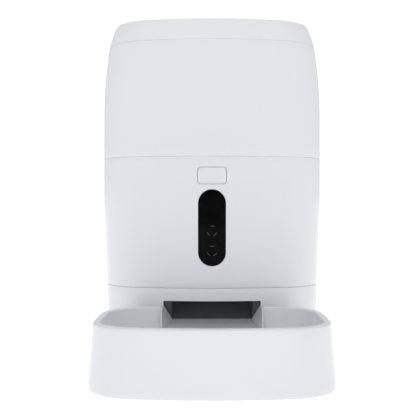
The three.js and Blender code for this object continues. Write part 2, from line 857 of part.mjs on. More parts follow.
function speaker() {
  const rim = throughbar(speakerX, speakerLevel, rearInner - 4.5, rearInner - 1.5, speakerRadius);
  const magnet = throughbar(speakerX, speakerLevel, rearInner - 12, rearInner - 4, speakerRadius * 0.55);
  return cut(
    union(rim, magnet),
    throughbar(speakerX, speakerLevel, rearInner - 3, rearInner, speakerRadius - 2),
  );
}
add('speaker', speaker(), blackPlastic);
add('microphone', throughbar(microphoneX, speakerLevel, rearInner - 7, rearInner - 3, 3, 18), steel);

// ---------------------------------------------------------------- metering unit

// A sector of a ring about the rotor's axis, centred on the front.
function frontSector(inner, outer, halfAngle) {
  const shape = new THREE.Shape();
  shape.absarc(0, axisY, outer, -Math.PI / 2 - halfAngle, -Math.PI / 2 + halfAngle, false);
  shape.absarc(0, axisY, inner, -Math.PI / 2 + halfAngle, -Math.PI / 2 - halfAngle, true);
  return shape;
}

const rotorBottom = meteringFloor + meteringWall + runningGap * 2;
const rotorTop = rotorBottom + rotorHeight;
const baffleBottom = rotorTop + 1.5;
const boreRadius = meteringRadius - meteringWall;

function meteringBowl() {
  const deck = raise(bowedPlan(bodyPlan, lean(deckTop) + wall + gap), deckTop - meteringDeck, deckTop);
  const drum = upright(0, axisY, meteringFloor, deckTop, meteringRadius, meteringRadius, 40);
  const bore = upright(0, axisY, meteringFloor + meteringWall, deckTop + 1, boreRadius, boreRadius, 40);
  const outlet = raise(
    frontSector(outletInner, rotorRadius - 1, outletHalfAngle),
    meteringFloor - 1,
    rotorBottom,
    6,
  );
  const bushHole = bushRadius + gap;
  const shaftHole = upright(0, axisY, meteringFloor - 1, rotorBottom, bushHole, bushHole, 24);
  const holes = casePlaces.map(([x, y]) => {
    return upright(
      x,
      y,
      meteringFloor - 1,
      meteringFloor + meteringWall - 0.5,
      screwRadius + gap,
      screwRadius + gap,
      10,
    );
  });
  return cut(union(deck, drum), bore, outlet, shaftHole, ...holes);
}

// The rotor's hub and blades turn the food round to the outlet, one compartment at a time.
function portionRotor() {
  const hub = upright(0, axisY, rotorBottom, rotorTop, hubRadius, hubRadius - 2, 28);
  const blades = Array.from({ length: bladeCount }, (_, blade) => {
    const plate = new THREE.BoxGeometry(rotorRadius - hubRadius / 2, bladeThickness, rotorHeight - 1);
    plate.translate((rotorRadius + hubRadius / 2) / 2, 0, rotorBottom + rotorHeight / 2);
    plate.rotateZ((2 * Math.PI * (blade + 0.5)) / bladeCount);
    plate.translate(0, axisY, 0);
    return solid(plate);
  });
  const bore = upright(0, axisY, rotorBottom - 1, rotorTop + 1, shaftRadius + gap, shaftRadius + gap, 24);
  return cut(union(hub, ...blades), bore);
}

const stirrerBottom = baffleBottom + baffleThickness + 1.5;
function stirrer() {
  const cap = upright(
    0,
    axisY,
    rotorTop + gap,
    stirrerBottom + stirrerHeight,
    shaftRadius + 3,
    shaftRadius + 1,
    24,
  );
  const socket = upright(
    0,
    axisY,
    rotorTop,
    stirrerBottom + stirrerHeight - 4,
    shaftRadius + gap,
    shaftRadius + gap,
    24,
  );
  const fingers = [0, 1].map((arm) => {
    const finger = new THREE.CylinderGeometry(1.6, 2.4, stirrerReach, 10);
    finger.rotateZ(-Math.PI / 2);
    finger.translate(stirrerReach / 2 + shaftRadius, 0, stirrerBottom + 4 + arm * 10);
    finger.rotateZ(arm * Math.PI + 0.4);
    finger.translate(0, axisY, 0);
    return solid(finger);
  });
  return cut(union(cap, ...fingers), socket);
}

// A fixed roof over the outlet's compartment, hung from the deck by a tab.
function baffle() {
  const roof = raise(
    frontSector(hubRadius + 4, boreRadius - gap, baffleHalfAngle),
    baffleBottom,
    baffleBottom + baffleThickness,
  );
  const tab = raise(
    frontSector(boreRadius - gap - 1.6, boreRadius - gap, 0.3),
    baffleBottom,
    deckTop + gap + 1.5,
    4,
  );
  const foot = raise(
    frontSector(boreRadius - gap - 1.6, boreRadius + 11, 0.3),
    deckTop + gap,
    deckTop + gap + 1.5,
    4,
  );
  return union(roof, tab, foot);
}

const shaftTop = stirrerBottom + stirrerHeight - 4 - gap;
add('rotor_shaft', upright(0, axisY, caseBottom + gap, shaftTop, shaftRadius, shaftRadius, 24), steel);
add('portion_rotor', portionRotor(), paleSilicone);
add('stirrer', stirrer(), paleSilicone);
add('outlet_baffle', baffle(), innerPlastic);

// ---------------------------------------------------------------- gear train

// The outline of a spur gear with involute-like flanks, thinned for backlash.
// One of its teeth is centred at the phase angle.
function gearShape(teeth, phase) {
  const pitch = (gearModule * teeth) / 2;
  const tip = pitch + gearModule * 0.95;
  const root = pitch - gearModule * 1.2;
  const halfTooth = Math.PI / (2 * teeth) - gearBacklash / (2 * pitch);
  const pressure = Math.tan(THREE.MathUtils.degToRad(20));
  const halfAt = (radius) => halfTooth - ((radius - pitch) * pressure) / pitch;
  const flank = [root, pitch, tip];
  const points = [];
  for (let tooth = 0; tooth < teeth; tooth += 1) {
    const centre = phase + (2 * Math.PI * tooth) / teeth;
    for (const radius of flank) points.push([radius, centre - halfAt(radius)]);
    for (const radius of flank.toReversed()) points.push([radius, centre + halfAt(radius)]);
  }
  return new THREE.Shape(
    points.map(([radius, angle]) => new THREE.Vector2(radius * Math.cos(angle), radius * Math.sin(angle))),
  );
}

// A gear about an upright axis, with its boss and bore.
function gear([x, y], teeth, phase, bore) {
  const shape = gearShape(teeth, phase);
  const hole = new THREE.Path();
  hole.absarc(0, 0, bore, 0, 2 * Math.PI, true);
  shape.holes.push(hole);
  const geometry = new THREE.ExtrudeGeometry(
    shape,
    { depth: gearWidth, bevelEnabled: false, curveSegments: 10 },
  );
  geometry.translate(x, y, gearBottom);
  return solid(geometry);
}

const meshDistance = (a, b) => (gearModule * (a + b)) / 2;
const polar = ([x, y], distance, angle) => [x + distance * Math.cos(angle), y + distance * Math.sin(angle)];
const driveCentre = [0, axisY];
const idlerCentre = polar(driveCentre, meshDistance(driveTeeth, idlerTeeth), idlerDirection);
const pinionCentre = polar(idlerCentre, meshDistance(idlerTeeth, pinionTeeth), pinionDirection);

// The follower's tooth gap faces the driver's tooth along the line of centres.
function meshPhase(direction, driverPhase, driver, follower) {
  const driverPitch = (2 * Math.PI) / driver;
  const offset = (direction - driverPhase) / driverPitch;
  const fraction = offset - Math.floor(offset);
  return direction + Math.PI + ((fraction - 0.5) * 2 * Math.PI) / follower;
}

const idlerPhase = meshPhase(idlerDirection, 0, driveTeeth, idlerTeeth);
const pinionPhase = meshPhase(pinionDirection, idlerPhase, idlerTeeth, pinionTeeth);
add('drive_gear', gear(driveCentre, driveTeeth, 0, shaftRadius + gap), acetal);
add('idler_gear', gear(idlerCentre, idlerTeeth, idlerPhase, axleRadius + runningGap), acetal);
add('motor_pinion', gear(pinionCentre, pinionTeeth, pinionPhase, motorShaftRadius + gap), brass);

function gearCase() {
  const rooms = [
    [driveCentre, driveTeeth],
    [idlerCentre, idlerTeeth],
    [pinionCentre, pinionTeeth],
  ].map(([centre, teeth]) => [centre, (gearModule * (teeth + 2)) / 2 + 1.5]);
  const ceiling = meteringFloor - gap;
  const outer = rooms.map(([[x, y], radius]) => upright(x, y, caseBottom, ceiling, radius + caseWall));
  const lugs = casePlaces.map(
    ([x, y]) => upright(x, y, ceiling - lugHeight, ceiling, screwRadius + 2.5, screwRadius + 2.5, 16),
  );
  const inner = rooms.map(([[x, y], radius]) => upright(x, y, caseBottom + caseWall, ceiling + 1, radius));
  const holes = [
    upright(
      ...driveCentre,
      caseBottom - 1,
      caseBottom + caseWall + 1,
      bushRadius + gap,
      bushRadius + gap,
      24,
    ),
    upright(
      ...idlerCentre,
      caseBottom - 1,
      caseBottom + caseWall + 1,
      axleRadius + gap,
      axleRadius + gap,
      16,
    ),
    upright(
      ...pinionCentre,
      caseBottom - 1,
      caseBottom + caseWall + 1,
      motorShaftRadius + 2,
      motorShaftRadius + 2,
      20,
    ),
    ...casePlaces.map(([x, y]) => {
      const hole = screwRadius + gap;
      return upright(x, y, ceiling - lugHeight - 1, ceiling + 1, hole, hole, 10);
    }),
  ];
  return cut(union(...outer, ...lugs), ...inner, ...holes);
}
const casePlaces = [
  polar(driveCentre, (gearModule * (driveTeeth + 2)) / 2 + 6.5, Math.PI),
  polar(driveCentre, (gearModule * (driveTeeth + 2)) / 2 + 6.5, -0.5),
  polar(idlerCentre, (gearModule * (idlerTeeth + 2)) / 2 + 6.5, 2.2),
];
add('gear_case', gearCase(), blackPlastic);
add('metering_bowl', meteringBowl(), innerPlastic);
casePlaces.forEach(([x, y], index) => {
  add(
    `gear_case_screw_${index + 1}`,
    screw(x, y, meteringFloor - gap - lugHeight - gap, lugHeight + 2),
    steel,
  );
});

// Flanged bushes carry the shaft in the case and in the metering floor.
function bush(z0, z1, flangeZ0, flangeZ1) {
  return cut(
    union(
      upright(0, axisY, z0, z1, bushRadius, bushRadius, 24),
      upright(0, axisY, flangeZ0, flangeZ1, bushRadius + 1.5, bushRadius + 1.5, 24),
    ),
    upright(0, axisY, z0 - 1, z1 + 1, shaftRadius + runningGap, shaftRadius + runningGap, 24),
  );
}
add(
  'lower_bush',
  bush(caseBottom + gap, gearBottom - gap, caseBottom + caseWall + gap, gearBottom - gap),
  brass,
);
add('upper_bush', bush(meteringFloor - 2, rotorBottom - gap, meteringFloor - 2, meteringFloor - gap), brass);
add(
  'idler_axle',
  upright(...idlerCentre, caseBottom + gap, gearBottom + gearWidth + 2, axleRadius, axleRadius, 16),
  steel,
);

function gearMotor() {
  const top = caseBottom - gap;
  const [x, y] = pinionCentre;
  return union(
    upright(x, y, top - motorLength, top - motorLength + 4, motorShaftRadius + 3, motorShaftRadius + 3, 20),
    upright(x, y, top - motorLength + 3, top - 18, motorRadius - 4, motorRadius - 4, 32),
    upright(x, y, top - 18, top, motorRadius, motorRadius, 32),
    upright(x, y, top - 1, gearBottom + gearWidth, motorShaftRadius, motorShaftRadius, 16),
  );
}
add('gear_motor', gearMotor(), steel);

// ---------------------------------------------------------------- hopper tank

const hingeY = bodyRear - lean(tankTop) - hingeRadius - 0.2;
const hingeZ = tankTop;
const hingeClear = hingeRadius + 0.5;
const catchFace = bodyFront + lean(catchLevel) + wall + catchDepth;

// A ring of a circle about the rotor's axis, its points in line with those of a plan ring.
function circleRing(radius, z, like) {
  return like.map(({ x, y }) => {
    const direction = new THREE.Vector2(x, y - axisY).normalize().multiplyScalar(radius);
    return new THREE.Vector3(direction.x, axisY + direction.y, z);
  });
}

function hopperTank() {
  const coneBottom = housingTop + 1;
  const like = bodyRing(funnelTop);
  const outside = loft([
    circleRing(throatRadius + wall, throatLevel, like),
    circleRing(throatRadius + wall, coneBottom, like),
    bodyRing(funnelTop, wall - 1),
    bodyRing(funnelTop + 4, wall - 1),
  ]);
  const inside = loft([
    circleRing(throatRadius, throatLevel - 5, like),
    circleRing(throatRadius, coneBottom + 3, like),
    bodyRing(funnelTop + 3, wall),
    bodyRing(tankTop + 10, wall),
  ]);
  const reach = bodyHalfWidth - rearCorner + 14;
  const groove = union(
    crossbar(hingeY, hingeZ, -reach, reach, hingeClear),
    block([-reach, hingeY, hingeZ - hingeClear], [reach, bodyRear + 1, hingeZ + 5]),
  );
  const knuckles = [-1, 1].map((side) => {
    const [from, to] = [side * (hingeHalfLength - hingeKnuckle), side * hingeHalfLength].sort(
      (a, b) => a - b,
    );
    return union(
      crossbar(hingeY, hingeZ, from, to, hingeRadius),
      block([from, hingeY - 1.2, hingeZ - 8], [to, hingeY + 1.2, hingeZ - 1]),
      block([from, hingeY - 1.2, hingeZ - 8], [to, hingeY + 3, hingeZ - hingeClear]),
    );
  });
  const pinHole = crossbar(
    hingeY,
    hingeZ,
    -hingeHalfLength - 1,
    hingeHalfLength + 1,
    hingePinRadius + gap,
    16,
  );
  const catchLedge = block(
    [-boltWidth / 2 - 2, catchFace - catchDepth - 1, catchLevel],
    [boltWidth / 2 + 2, catchFace, catchLevel + catchHeight],
  );
  const shell = casing(housingTop + seam / 2, tankTop - seam / 2);
  return cut(union(cut(shell, groove), cut(outside, inside), catchLedge, ...knuckles), pinHole);
}
add('hopper_tank', hopperTank(), whitePlastic);
add('lid_hinge_pin', crossbar(hingeY, hingeZ, -hingeHalfLength, hingeHalfLength, hingePinRadius, 16), steel);

// ---------------------------------------------------------------- lid

const lockY = bodyFront + lockSetback;
const lockFloor = lidTop - lockPocketDepth;
const padY = lockY + lockTravel / 2;
const lockPad = roundedRectangle(lockPadWidth, lockPadLength, lockPadCorner, 0, padY);
const lockPocket = roundedRectangle(
  lockPadWidth + 2 * lockMargin,
  lockPadLength + lockTravel + 2 * lockMargin,
  lockPadCorner + lockMargin,
  0,
  lockY,
);

function lidShell() {
  const bottom = tankTop + seam / 2;
  const shell = cut(lidForm(0, 0, bottom), lidForm(wall, wall, bottom - 3));
  const reach = bodyHalfWidth - rearCorner + 9;
  const barrel = crossbar(hingeY, hingeZ, -reach, reach, hingeRadius).intersect(
    raise(bowedPlan(bodyPlan, lean(tankTop) + 0.1), hingeZ - 10, hingeZ + 10),
  );
  const slots = [-1, 1].map((side) => {
    const [from, to] = [
      side * (hingeHalfLength - hingeKnuckle - gap),
      side * (hingeHalfLength + gap),
    ].sort((a, b) => a - b);
    return crossbar(hingeY, hingeZ, from, to, hingeClear);
  });
  const pinHole = crossbar(hingeY, hingeZ, -hingeHalfLength, hingeHalfLength, hingePinRadius + gap, 16);
  const pocketBacking = block([-25, lockY - 20, lockFloor - wall], [25, lockY + 20, lidTop]).intersect(
    lidForm(0, 0, bottom),
  );
  const pocket = raise(lockPocket, lockFloor, lidTop + 2);
  const stemSlot = block(
    [-lockStemHalfWidth - gap, padY - lockTravel - lockStemLength / 2 - gap, bottom],
    [lockStemHalfWidth + gap, padY + lockStemLength / 2 + gap, lidTop],
  );
  return cut(union(shell, barrel, pocketBacking), ...slots, pinHole, pocket, stemSlot);
}
add('lid_shell', lidShell(), whitePlastic);

// The plug under the lid keeps clear of the hinge barrel at the back.
const plugPlan = { ...bodyPlan, rear: hingeY - hingeClear - 0.6 + lean(tankTop) + wall + plugGap };
const plugInset = lean(tankTop) + wall + plugGap;
const plugBottom = tankTop - plugDepth;
const sealLevel = tankTop - 7;

function plugBand(inset, z0, z1) {
  return raise(bowedPlan(plugPlan, inset), z0, z1);
}

function lidLiner() {
  const tray = cut(
    plugBand(plugInset, plugBottom, tankTop + seam),
    plugBand(plugInset + 2.6, plugBottom + linerThickness, tankTop + 3),
  );
  const groove = cut(
    plugBand(plugInset - 1, sealLevel - gap, sealLevel + sealThickness + gap),
    plugBand(plugInset + 1.2, sealLevel - 1, sealLevel + 4),
  );
  const catchNotch = block(
    [-boltWidth / 2 - 3, bodyFront, plugBottom - 1],
    [boltWidth / 2 + 3, catchFace + 1.7, catchLevel + catchHeight + 0.5],
  );
  return cut(tray, groove, catchNotch);
}
add('lid_liner', lidLiner(), innerPlastic);
add(
  'lid_seal',
  cut(
    plugBand(plugInset - 0.6, sealLevel, sealLevel + sealThickness),
    plugBand(plugInset + 1.2 - gap, sealLevel - 1, sealLevel + 4),
  ),
  paleSilicone,
);

// The lid lock: a thumb pad in a pocket of the lid, and the bolt that its stem carries
// under the tank's catch.
function lockSlider() {
  const pad = raise(lockPad, lockFloor + gap, lidTop + 2).intersect(lidForm(0, 0.5, tankTop + 2));
  const ribs = [-1, 0, 1].map((row) => {
    return block([-9, padY + 3.2 * row - 0.6, lidTop - 2], [9, padY + 3.2 * row + 0.6, lidTop + 1]);
  });
  const stem = block(
    [-lockStemHalfWidth, padY - lockStemLength / 2, boltLevel + boltHeight - 1.5],
    [lockStemHalfWidth, padY + lockStemLength / 2, lockFloor + gap + 0.5],
  );
  return union(cut(pad, ...ribs), stem);
}
add('lid_lock_slider', lockSlider(), whitePlastic);

function lockBolt() {
  const tip = catchFace + boltStandOff;
  const bar = block(
    [-boltWidth / 2, tip, boltLevel],
    [boltWidth / 2, tip + boltLength, boltLevel + boltHeight],
  );
  const socket = block(
    [-lockStemHalfWidth - gap, padY - lockStemLength / 2 - gap, boltLevel + boltHeight - 1.5 - gap],
    [lockStemHalfWidth + gap, padY + lockStemLength / 2 + gap, boltLevel + boltHeight + 1],
  );
  return cut(bar, socket);
}
add('lid_lock_bolt', lockBolt(), acetal);

// The desiccant box hangs under the plug; its pierced cap turns off like a jar's.
const desiccantY = planCentre.y + 12;
const desiccantTop = plugBottom - gap;
const desiccantBottom = desiccantTop - desiccantHeight;
function desiccantBox() {
  return cut(
    upright(0, desiccantY, desiccantBottom, desiccantTop, desiccantRadius, desiccantRadius, 28),
    upright(
      0,
      desiccantY,
      desiccantBottom - 1,
      desiccantTop - 1.6,
      desiccantRadius - 1.6,
      desiccantRadius - 1.6,
      28,
    ),
  );
}
add('desiccant_box', desiccantBox(), innerPlastic);

function desiccantCap() {
  const disc = upright(
    0,
    desiccantY,
    desiccantBottom - gap - 2,
    desiccantBottom - gap,
    desiccantRadius,
    desiccantRadius,
    28,
  );
  const spigotRadius = desiccantRadius - 1.6 - runningGap;
  const spigot = cut(
    upright(0, desiccantY, desiccantBottom - gap - 0.5, desiccantBottom + 5, spigotRadius, spigotRadius, 28),
    upright(
      0,
      desiccantY,
      desiccantBottom - gap,
      desiccantBottom + 6,
      spigotRadius - 1.5,
      spigotRadius - 1.5,
      28,
    ),
  );
  const grip = block(
    [-desiccantRadius * 0.6, desiccantY - 1.2, desiccantBottom - gap - 5],
    [desiccantRadius * 0.6, desiccantY + 1.2, desiccantBottom - gap - 1],
  );
  const holes = [];
  for (let hole = 0; hole < 10; hole += 1) {
    const [x, y] = polar(
      [0, desiccantY],
      desiccantRadius * (hole % 2 ? 0.62 : 0.4),
      ((hole + 0.5) * Math.PI) / 5,
    );
    holes.push(upright(x, y, desiccantBottom - 5, desiccantBottom + 1, 2.4, 2.4, 6));
  }
  return cut(union(disc, spigot, grip), ...holes);
}
add('desiccant_cap', desiccantCap(), innerPlastic);

// ---------------------------------------------------------------- food bowl

const besideChute = bodyFaceY + frontBow - Math.sqrt(frontBow ** 2 - chuteHalfWidth ** 2);
const belowChute = bodyFront + lean(chuteLip - chuteWall - notchGap);
const bowlBack = Math.min(besideChute, belowChute) - bowlToBody;
const bowlFront = bowlBack - bowlLength;

// The bowl's plan, grown outwards at the front and sides and drawn in everywhere by inset.
function bowlPlan(grow, inset = 0) {
  return bowedPlan(
    {
      halfWidth: bowlHalfWidth + grow,
      front: bowlFront - grow,
      rear: bowlBack,
      bow: bowlBow,
      corner: bowlCorner + grow,
      backBow: 3000,
      backCorner: bowlRearCorner,
    },
    inset,
  );
}

function bowlRings(sections) {
  return loft(sections.map(([z, grow, inset]) => ring(bowlPlan(grow, inset), z, planDetail)));
}

// The inside of the bowl, grown outwards by a skin.
function basin(skin) {
  const depth = bowlRim + bowlDraft;
  return bowlRings([
    [bowlFloor - skin, 0, depth + 9 - skin],
    [bowlFloor + 2.5 - skin, 0, depth + 3 - skin],
    [bowlFloor + 8 - skin, 0, depth - skin],
    [bowlHeight - 4, 0, bowlRim + 0.8 - skin],
    [bowlHeight + (skin ? -bowlSkin : 2), 0, bowlRim - 0.5 - skin],
  ]);
}

function foodBowl() {
  const outside = bowlRings([
    [0, bowlFlare, 1],
    [1.2, bowlFlare, 0],
    [bowlHeight * 0.5, bowlFlare * 0.45, 0],
    [bowlHeight - 2, 0, 0],
    [bowlHeight - 0.6, 0, 0.7],
    [bowlHeight, 0, 2.2],
  ]);
  const hollow = cut(
    bowlRings([
      [-1, bowlFlare, bowlSkin],
      [bowlHeight * 0.5, bowlFlare * 0.45, bowlSkin],
      [bowlHeight - bowlSkin - 1, 0, bowlSkin + 0.3],
    ]),
    basin(bowlSkin),
  );
  const notchHalf = chuteHalfWidth + chuteWall + notchGap;
  const notchLow = chuteLip - chuteWall - notchGap;
  const frame = block(
    [-notchHalf - bowlSkin, bowlBack - bowlRim - 3, notchLow - bowlSkin],
    [notchHalf + bowlSkin, bowlBack, bowlHeight - 2],
  ).intersect(outside);
  const notch = block(
    [-notchHalf, bowlBack - bowlRim - 20, notchLow],
    [notchHalf, bowlBack + 5, bowlHeight + 5],
  );
  return cut(union(cut(outside, hollow), frame), basin(0), notch);
}
add('food_bowl', foodBowl(), whitePlastic);

export default feeder;
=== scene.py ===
"""The looks of an automatic pet feeder: smooth shells, bowl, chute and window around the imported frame.

Lengths are millimetres until a mesh is made, which turns them into metres.
"""

import math

import bpy
import numpy as np
from mathutils import Matrix, Vector


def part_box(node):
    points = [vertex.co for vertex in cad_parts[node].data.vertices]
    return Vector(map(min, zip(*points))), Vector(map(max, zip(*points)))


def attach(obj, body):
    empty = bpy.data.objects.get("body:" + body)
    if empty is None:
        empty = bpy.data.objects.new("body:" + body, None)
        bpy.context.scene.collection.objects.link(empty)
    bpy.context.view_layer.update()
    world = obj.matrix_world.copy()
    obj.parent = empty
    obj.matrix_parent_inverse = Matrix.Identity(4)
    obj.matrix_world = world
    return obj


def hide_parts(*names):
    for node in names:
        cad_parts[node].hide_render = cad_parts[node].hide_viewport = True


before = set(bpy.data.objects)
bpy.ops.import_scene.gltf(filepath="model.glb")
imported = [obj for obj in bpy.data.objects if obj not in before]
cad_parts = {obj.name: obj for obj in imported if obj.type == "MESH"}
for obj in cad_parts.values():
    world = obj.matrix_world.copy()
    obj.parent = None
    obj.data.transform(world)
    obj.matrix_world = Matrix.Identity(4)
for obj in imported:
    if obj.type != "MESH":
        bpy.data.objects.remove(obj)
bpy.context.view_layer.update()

MM = 0.001


def span(node):
    """The lowest and highest corners of a CAD node, in millimetres."""
    low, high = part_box(node)
    return low / MM, high / MM


def middle(node):
    """The centre of a CAD node's box, in millimetres."""
    low, high = span(node)
    return (low + high) / 2


# ------------------------------------------------------------------ sizes

# Joints between the casings, and the places that everything else is set from.
SEAM = 0.6
WALL = 2.5
GAP = 0.3
housing_low, housing_high = span("main_housing")
FOOT = span("base_shell")[0].z
bowl_low, bowl_high = span("food_bowl")
BASE_TOP = housing_low.z - SEAM / 2
HOUSING_TOP = housing_high.z + SEAM / 2
TANK_TOP = middle("lid_hinge_pin").z
LID_TOP = span("lid_shell")[1].z
HINGE_Y = middle("lid_hinge_pin").y

# The body's plan: shallow bows at the front and rear that run tangent into round corners.
BODY = {
    "half": housing_high.x,
    "front": housing_low.y,
    "rear": housing_high.y,
    "bow": 350.0,
    "corner": 53.0,
    "back_bow": 1200.0,
    "back_corner": 42.0,
}
PLAN_CENTRE = np.array([0.0, (BODY["front"] + BODY["rear"]) / 2])

# How the sides draw in towards the foot and the lid.
LEAN_LEVEL = HOUSING_TOP - 42
FOOT_LEAN = 5.2
SHOULDER_LEVEL = TANK_TOP - 72
SHOULDER_LEAN = 5.6
SHOULDER_CURVE = 1.8
LID_EDGE_INSET = 8.9
LID_EDGE_HEIGHT = 22.8
LID_EDGE_SLOPE = 5.8
LID_EDGE_SAG = 0.7
LID_CROWN = LID_TOP - TANK_TOP - LID_EDGE_HEIGHT
EDGE_ROUND = 0.22

# How wide each joint stands open between two casings' rounded rims.
LID_JOINT = 0.1
TANK_JOINT = 0.14
HOUSING_JOINT = 0.3

BOWL = {
    "half": 104.6,
    "front": bowl_low.y + 4.4,
    "rear": bowl_high.y,
    "bow": 500.0,
    "corner": 42.0,
    "back_bow": 3000.0,
    "back_corner": 40.0,
}
BOWL_TOP = bowl_high.z
BOWL_FLARE = 4.4
BOWL_RIM = 6.5
BOWL_DRAFT = 9.0
BOWL_FLOOR = 12.0
BOWL_SKIN = 2.4

CHUTE_HALF = 49.0
CHUTE_BEND_HALF = 41.5
CHUTE_OUTLET_HALF = 28.5
CHUTE_WALL = 2.0
CHUTE_TOP = BOWL_TOP + 5
CHUTE_LIP = 20.0
CHUTE_BEND = 30.5
CHUTE_BEND_LEVEL = 40.0
CHUTE_MOUTH_DEPTH = WALL + 4.2
# How far back and how far to each side the chute's painted shade reaches.
PAINTED_SHADE_DEPTH = 120.0
PAINTED_SHADE_MARGIN = 80.0


# ------------------------------------------------------------------ shape helpers

ARC_STEPS = {"bow": 48, "corner": 22, "side": 10}


def arc(x, y, radius, start, end, steps):
    """Points of an arc, without its last one."""
    angles = start + (end - start) * np.arange(steps) / steps
    return np.column_stack([x + radius * np.cos(angles), y + radius * np.sin(angles)])


def bowed_plan(plan, inset=0.0, grow=0.0):
    """The outline of a bowed plan, counter-clockwise, grown at the front and sides and drawn in by inset."""
    width = plan["half"] + grow - inset
    front_radius = plan["bow"] - inset
    corner = plan["corner"] + grow - inset
    back_radius = plan["back_bow"] - inset
    back_corner = plan["back_corner"] - inset
    bow_centre = plan["front"] - grow + plan["bow"]
    back_centre = plan["rear"] - plan["back_bow"]
    corner_x = width - corner
    back_x = width - back_corner
    corner_y = bow_centre - math.sqrt((front_radius - corner) ** 2 - corner_x**2)
    back_y = back_centre + math.sqrt((back_radius - back_corner) ** 2 - back_x**2)
    turn = math.atan2(corner_y - bow_centre, corner_x)
    back_turn = math.atan2(back_y - back_centre, back_x)
    side = np.linspace([width, corner_y], [width, back_y], ARC_STEPS["side"], endpoint=False)
    right = np.vstack([
        arc(corner_x, corner_y, corner, turn, 0, ARC_STEPS["corner"]),
        side,
        arc(back_x, back_y, back_corner, 0, back_turn, ARC_STEPS["corner"]),
    ])
    back = arc(0, back_centre, back_radius, back_turn, math.pi - back_turn, ARC_STEPS["bow"])
    front = arc(0, bow_centre, front_radius, -math.pi - turn, turn, ARC_STEPS["bow"])
    left = np.vstack([
        arc(-back_x, back_y, back_corner, math.pi - back_turn, math.pi, ARC_STEPS["corner"]),
        np.linspace([-width, back_y], [-width, corner_y], ARC_STEPS["side"], endpoint=False),
        arc(-corner_x, corner_y, corner, math.pi, math.pi - turn, ARC_STEPS["corner"]),
    ])
    return np.vstack([front, right, back, left])


def ring(outline, z):
    """An outline lifted to a height; z may be a number or one height for each point."""
    return np.column_stack([outline, np.broadcast_to(z, len(outline))])


def solid(vertices, faces, name="solid"):
    """A new object from points in millimetres and faces that point outwards."""
    mesh = bpy.data.meshes.new(name)
    mesh.from_pydata([tuple(point) for point in np.asarray(vertices) * MM], [], faces)
    made = bpy.data.objects.new(name, mesh)
    bpy.context.scene.collection.objects.link(made)
    return made


def loft(rings, name="solid", twisted=False):
    """A closed skin over rings of equal count, lowest first, capped flat at both ends.

    A twisted skin is split into triangles that mirror each other across the middle.
    """
    count = len(rings[0])
    faces = []
    for level in range(len(rings) - 1):
        for side in range(count):
            a = level * count + side
            b = level * count + (side + 1) % count
            if not twisted:
                faces.append((a, b, b + count, a + count))
            elif rings[level][side][0] + rings[level][(side + 1) % count][0] > 0:
                faces.extend([(a, b, b + count), (a, b + count, a + count)])
            else:
                faces.extend([(a, b, a + count), (b, b + count, a + count)])
    top = (len(rings) - 1) * count
    faces.append(tuple(reversed(range(count))))
    faces.append(tuple(range(top, top + count)))
    return solid(np.vstack(rings), faces, name)


def block(low, high):
    """A block between two opposite corners."""
    x, y, z = zip(low, high)
    corners = [(x[0], y[0]), (x[1], y[0]), (x[1], y[1]), (x[0], y[1])]
    return loft([ring(np.array(corners, float), level) for level in z])


def circle(x, y, radius, sides):
    """Points of a whole circle."""
    return arc(x, y, radius, 0, 2 * math.pi, sides)


def upright(x, y, z0, z1, radius, top_radius=None, sides=72, edge=0.0):
    """A round bar or cone along Z, with its two rims rounded by edge."""
    top_radius = radius if top_radius is None else top_radius
    rings = []
    for z, r, sign in ((z0, radius, 1), (z1, top_radius, -1)):
        turns = [0.0, 0.5, 1.0] if edge else [0.0]
        rims = []
        for turn in turns:
            angle = turn * math.pi / 2
            inset = edge * (1 - math.sin(angle))
            rise = edge * (1 - math.cos(angle))
            rims.append(ring(circle(x, y, r - inset, sides), z + sign * rise))
        rings.extend(rims if sign > 0 else reversed(rims))
    return loft(rings)


def turned_to(made, axis):
    """A bar made along Z about the origin, its Z turned to lie along X or Y."""
    for vertex in made.data.vertices:
        x, y, z = vertex.co
        vertex.co = (z, x, y) if axis == "x" else (y, z, x)
    return made


def moved(made, x=0.0, y=0.0, z=0.0):
    """Shifts a solid's mesh and leaves its object at the origin."""
    made.data.transform(Matrix.Translation(Vector((x, y, z)) * MM))
    return made


def crossbar(y, z, x0, x1, radius, sides=48):
    """A round bar along X."""
    return moved(turned_to(upright(0, 0, x0, x1, radius, sides=sides), "x"), 0, y, z)


def throughbar(x, z, y0, y1, radius, sides=64, edge=0.0):
    """A round bar along Y."""
    return moved(turned_to(upright(0, 0, y0, y1, radius, sides=sides, edge=edge), "y"), x, 0, z)


def rounded_rectangle(width, height, radius, x=0.0, y=0.0, steps=10):
    right = x + width / 2 - radius
    left = x - width / 2 + radius
    top = y + height / 2 - radius
    bottom = y - height / 2 + radius
    quarter = math.pi / 2
    return np.vstack([
        arc(right, bottom, radius, -quarter, 0, steps),
        arc(right, top, radius, 0, quarter, steps),
        arc(left, top, radius, quarter, 2 * quarter, steps),
        arc(left, bottom, radius, 2 * quarter, 3 * quarter, steps),
    ])


def raised(outline, z0, z1):
    """A plan outline raised from z0 to z1."""
    return loft([ring(outline, z0), ring(outline, z1)])


def pushed(outline, y0, y1):
    """A front-elevation outline pushed back from y0 to y1."""
    near = np.column_stack([outline[:, 0], np.full(len(outline), y0), outline[:, 1]])
    far = near + [0, y1 - y0, 0]
    return loft([far, near])


def boolean(body, tool, operation):
    """Joins, cuts or crosses body with tool, and uses the tool up."""
    modifier = body.modifiers.new("join", "BOOLEAN")
    modifier.operation = operation
    modifier.solver = "MANIFOLD"
    modifier.object = tool
    graph = bpy.context.evaluated_depsgraph_get()
    made = bpy.data.meshes.new_from_object(body.evaluated_get(graph), depsgraph=graph)
    body.modifiers.clear()
    body.data = made
    bpy.data.objects.remove(tool, do_unlink=True)
    return body


def cut(body, *tools):
    for tool in tools:
        body = boolean(body, tool, "DIFFERENCE")
    return body


def union(body, *others):
    for other in others:
        body = boolean(body, other, "UNION")
    return body


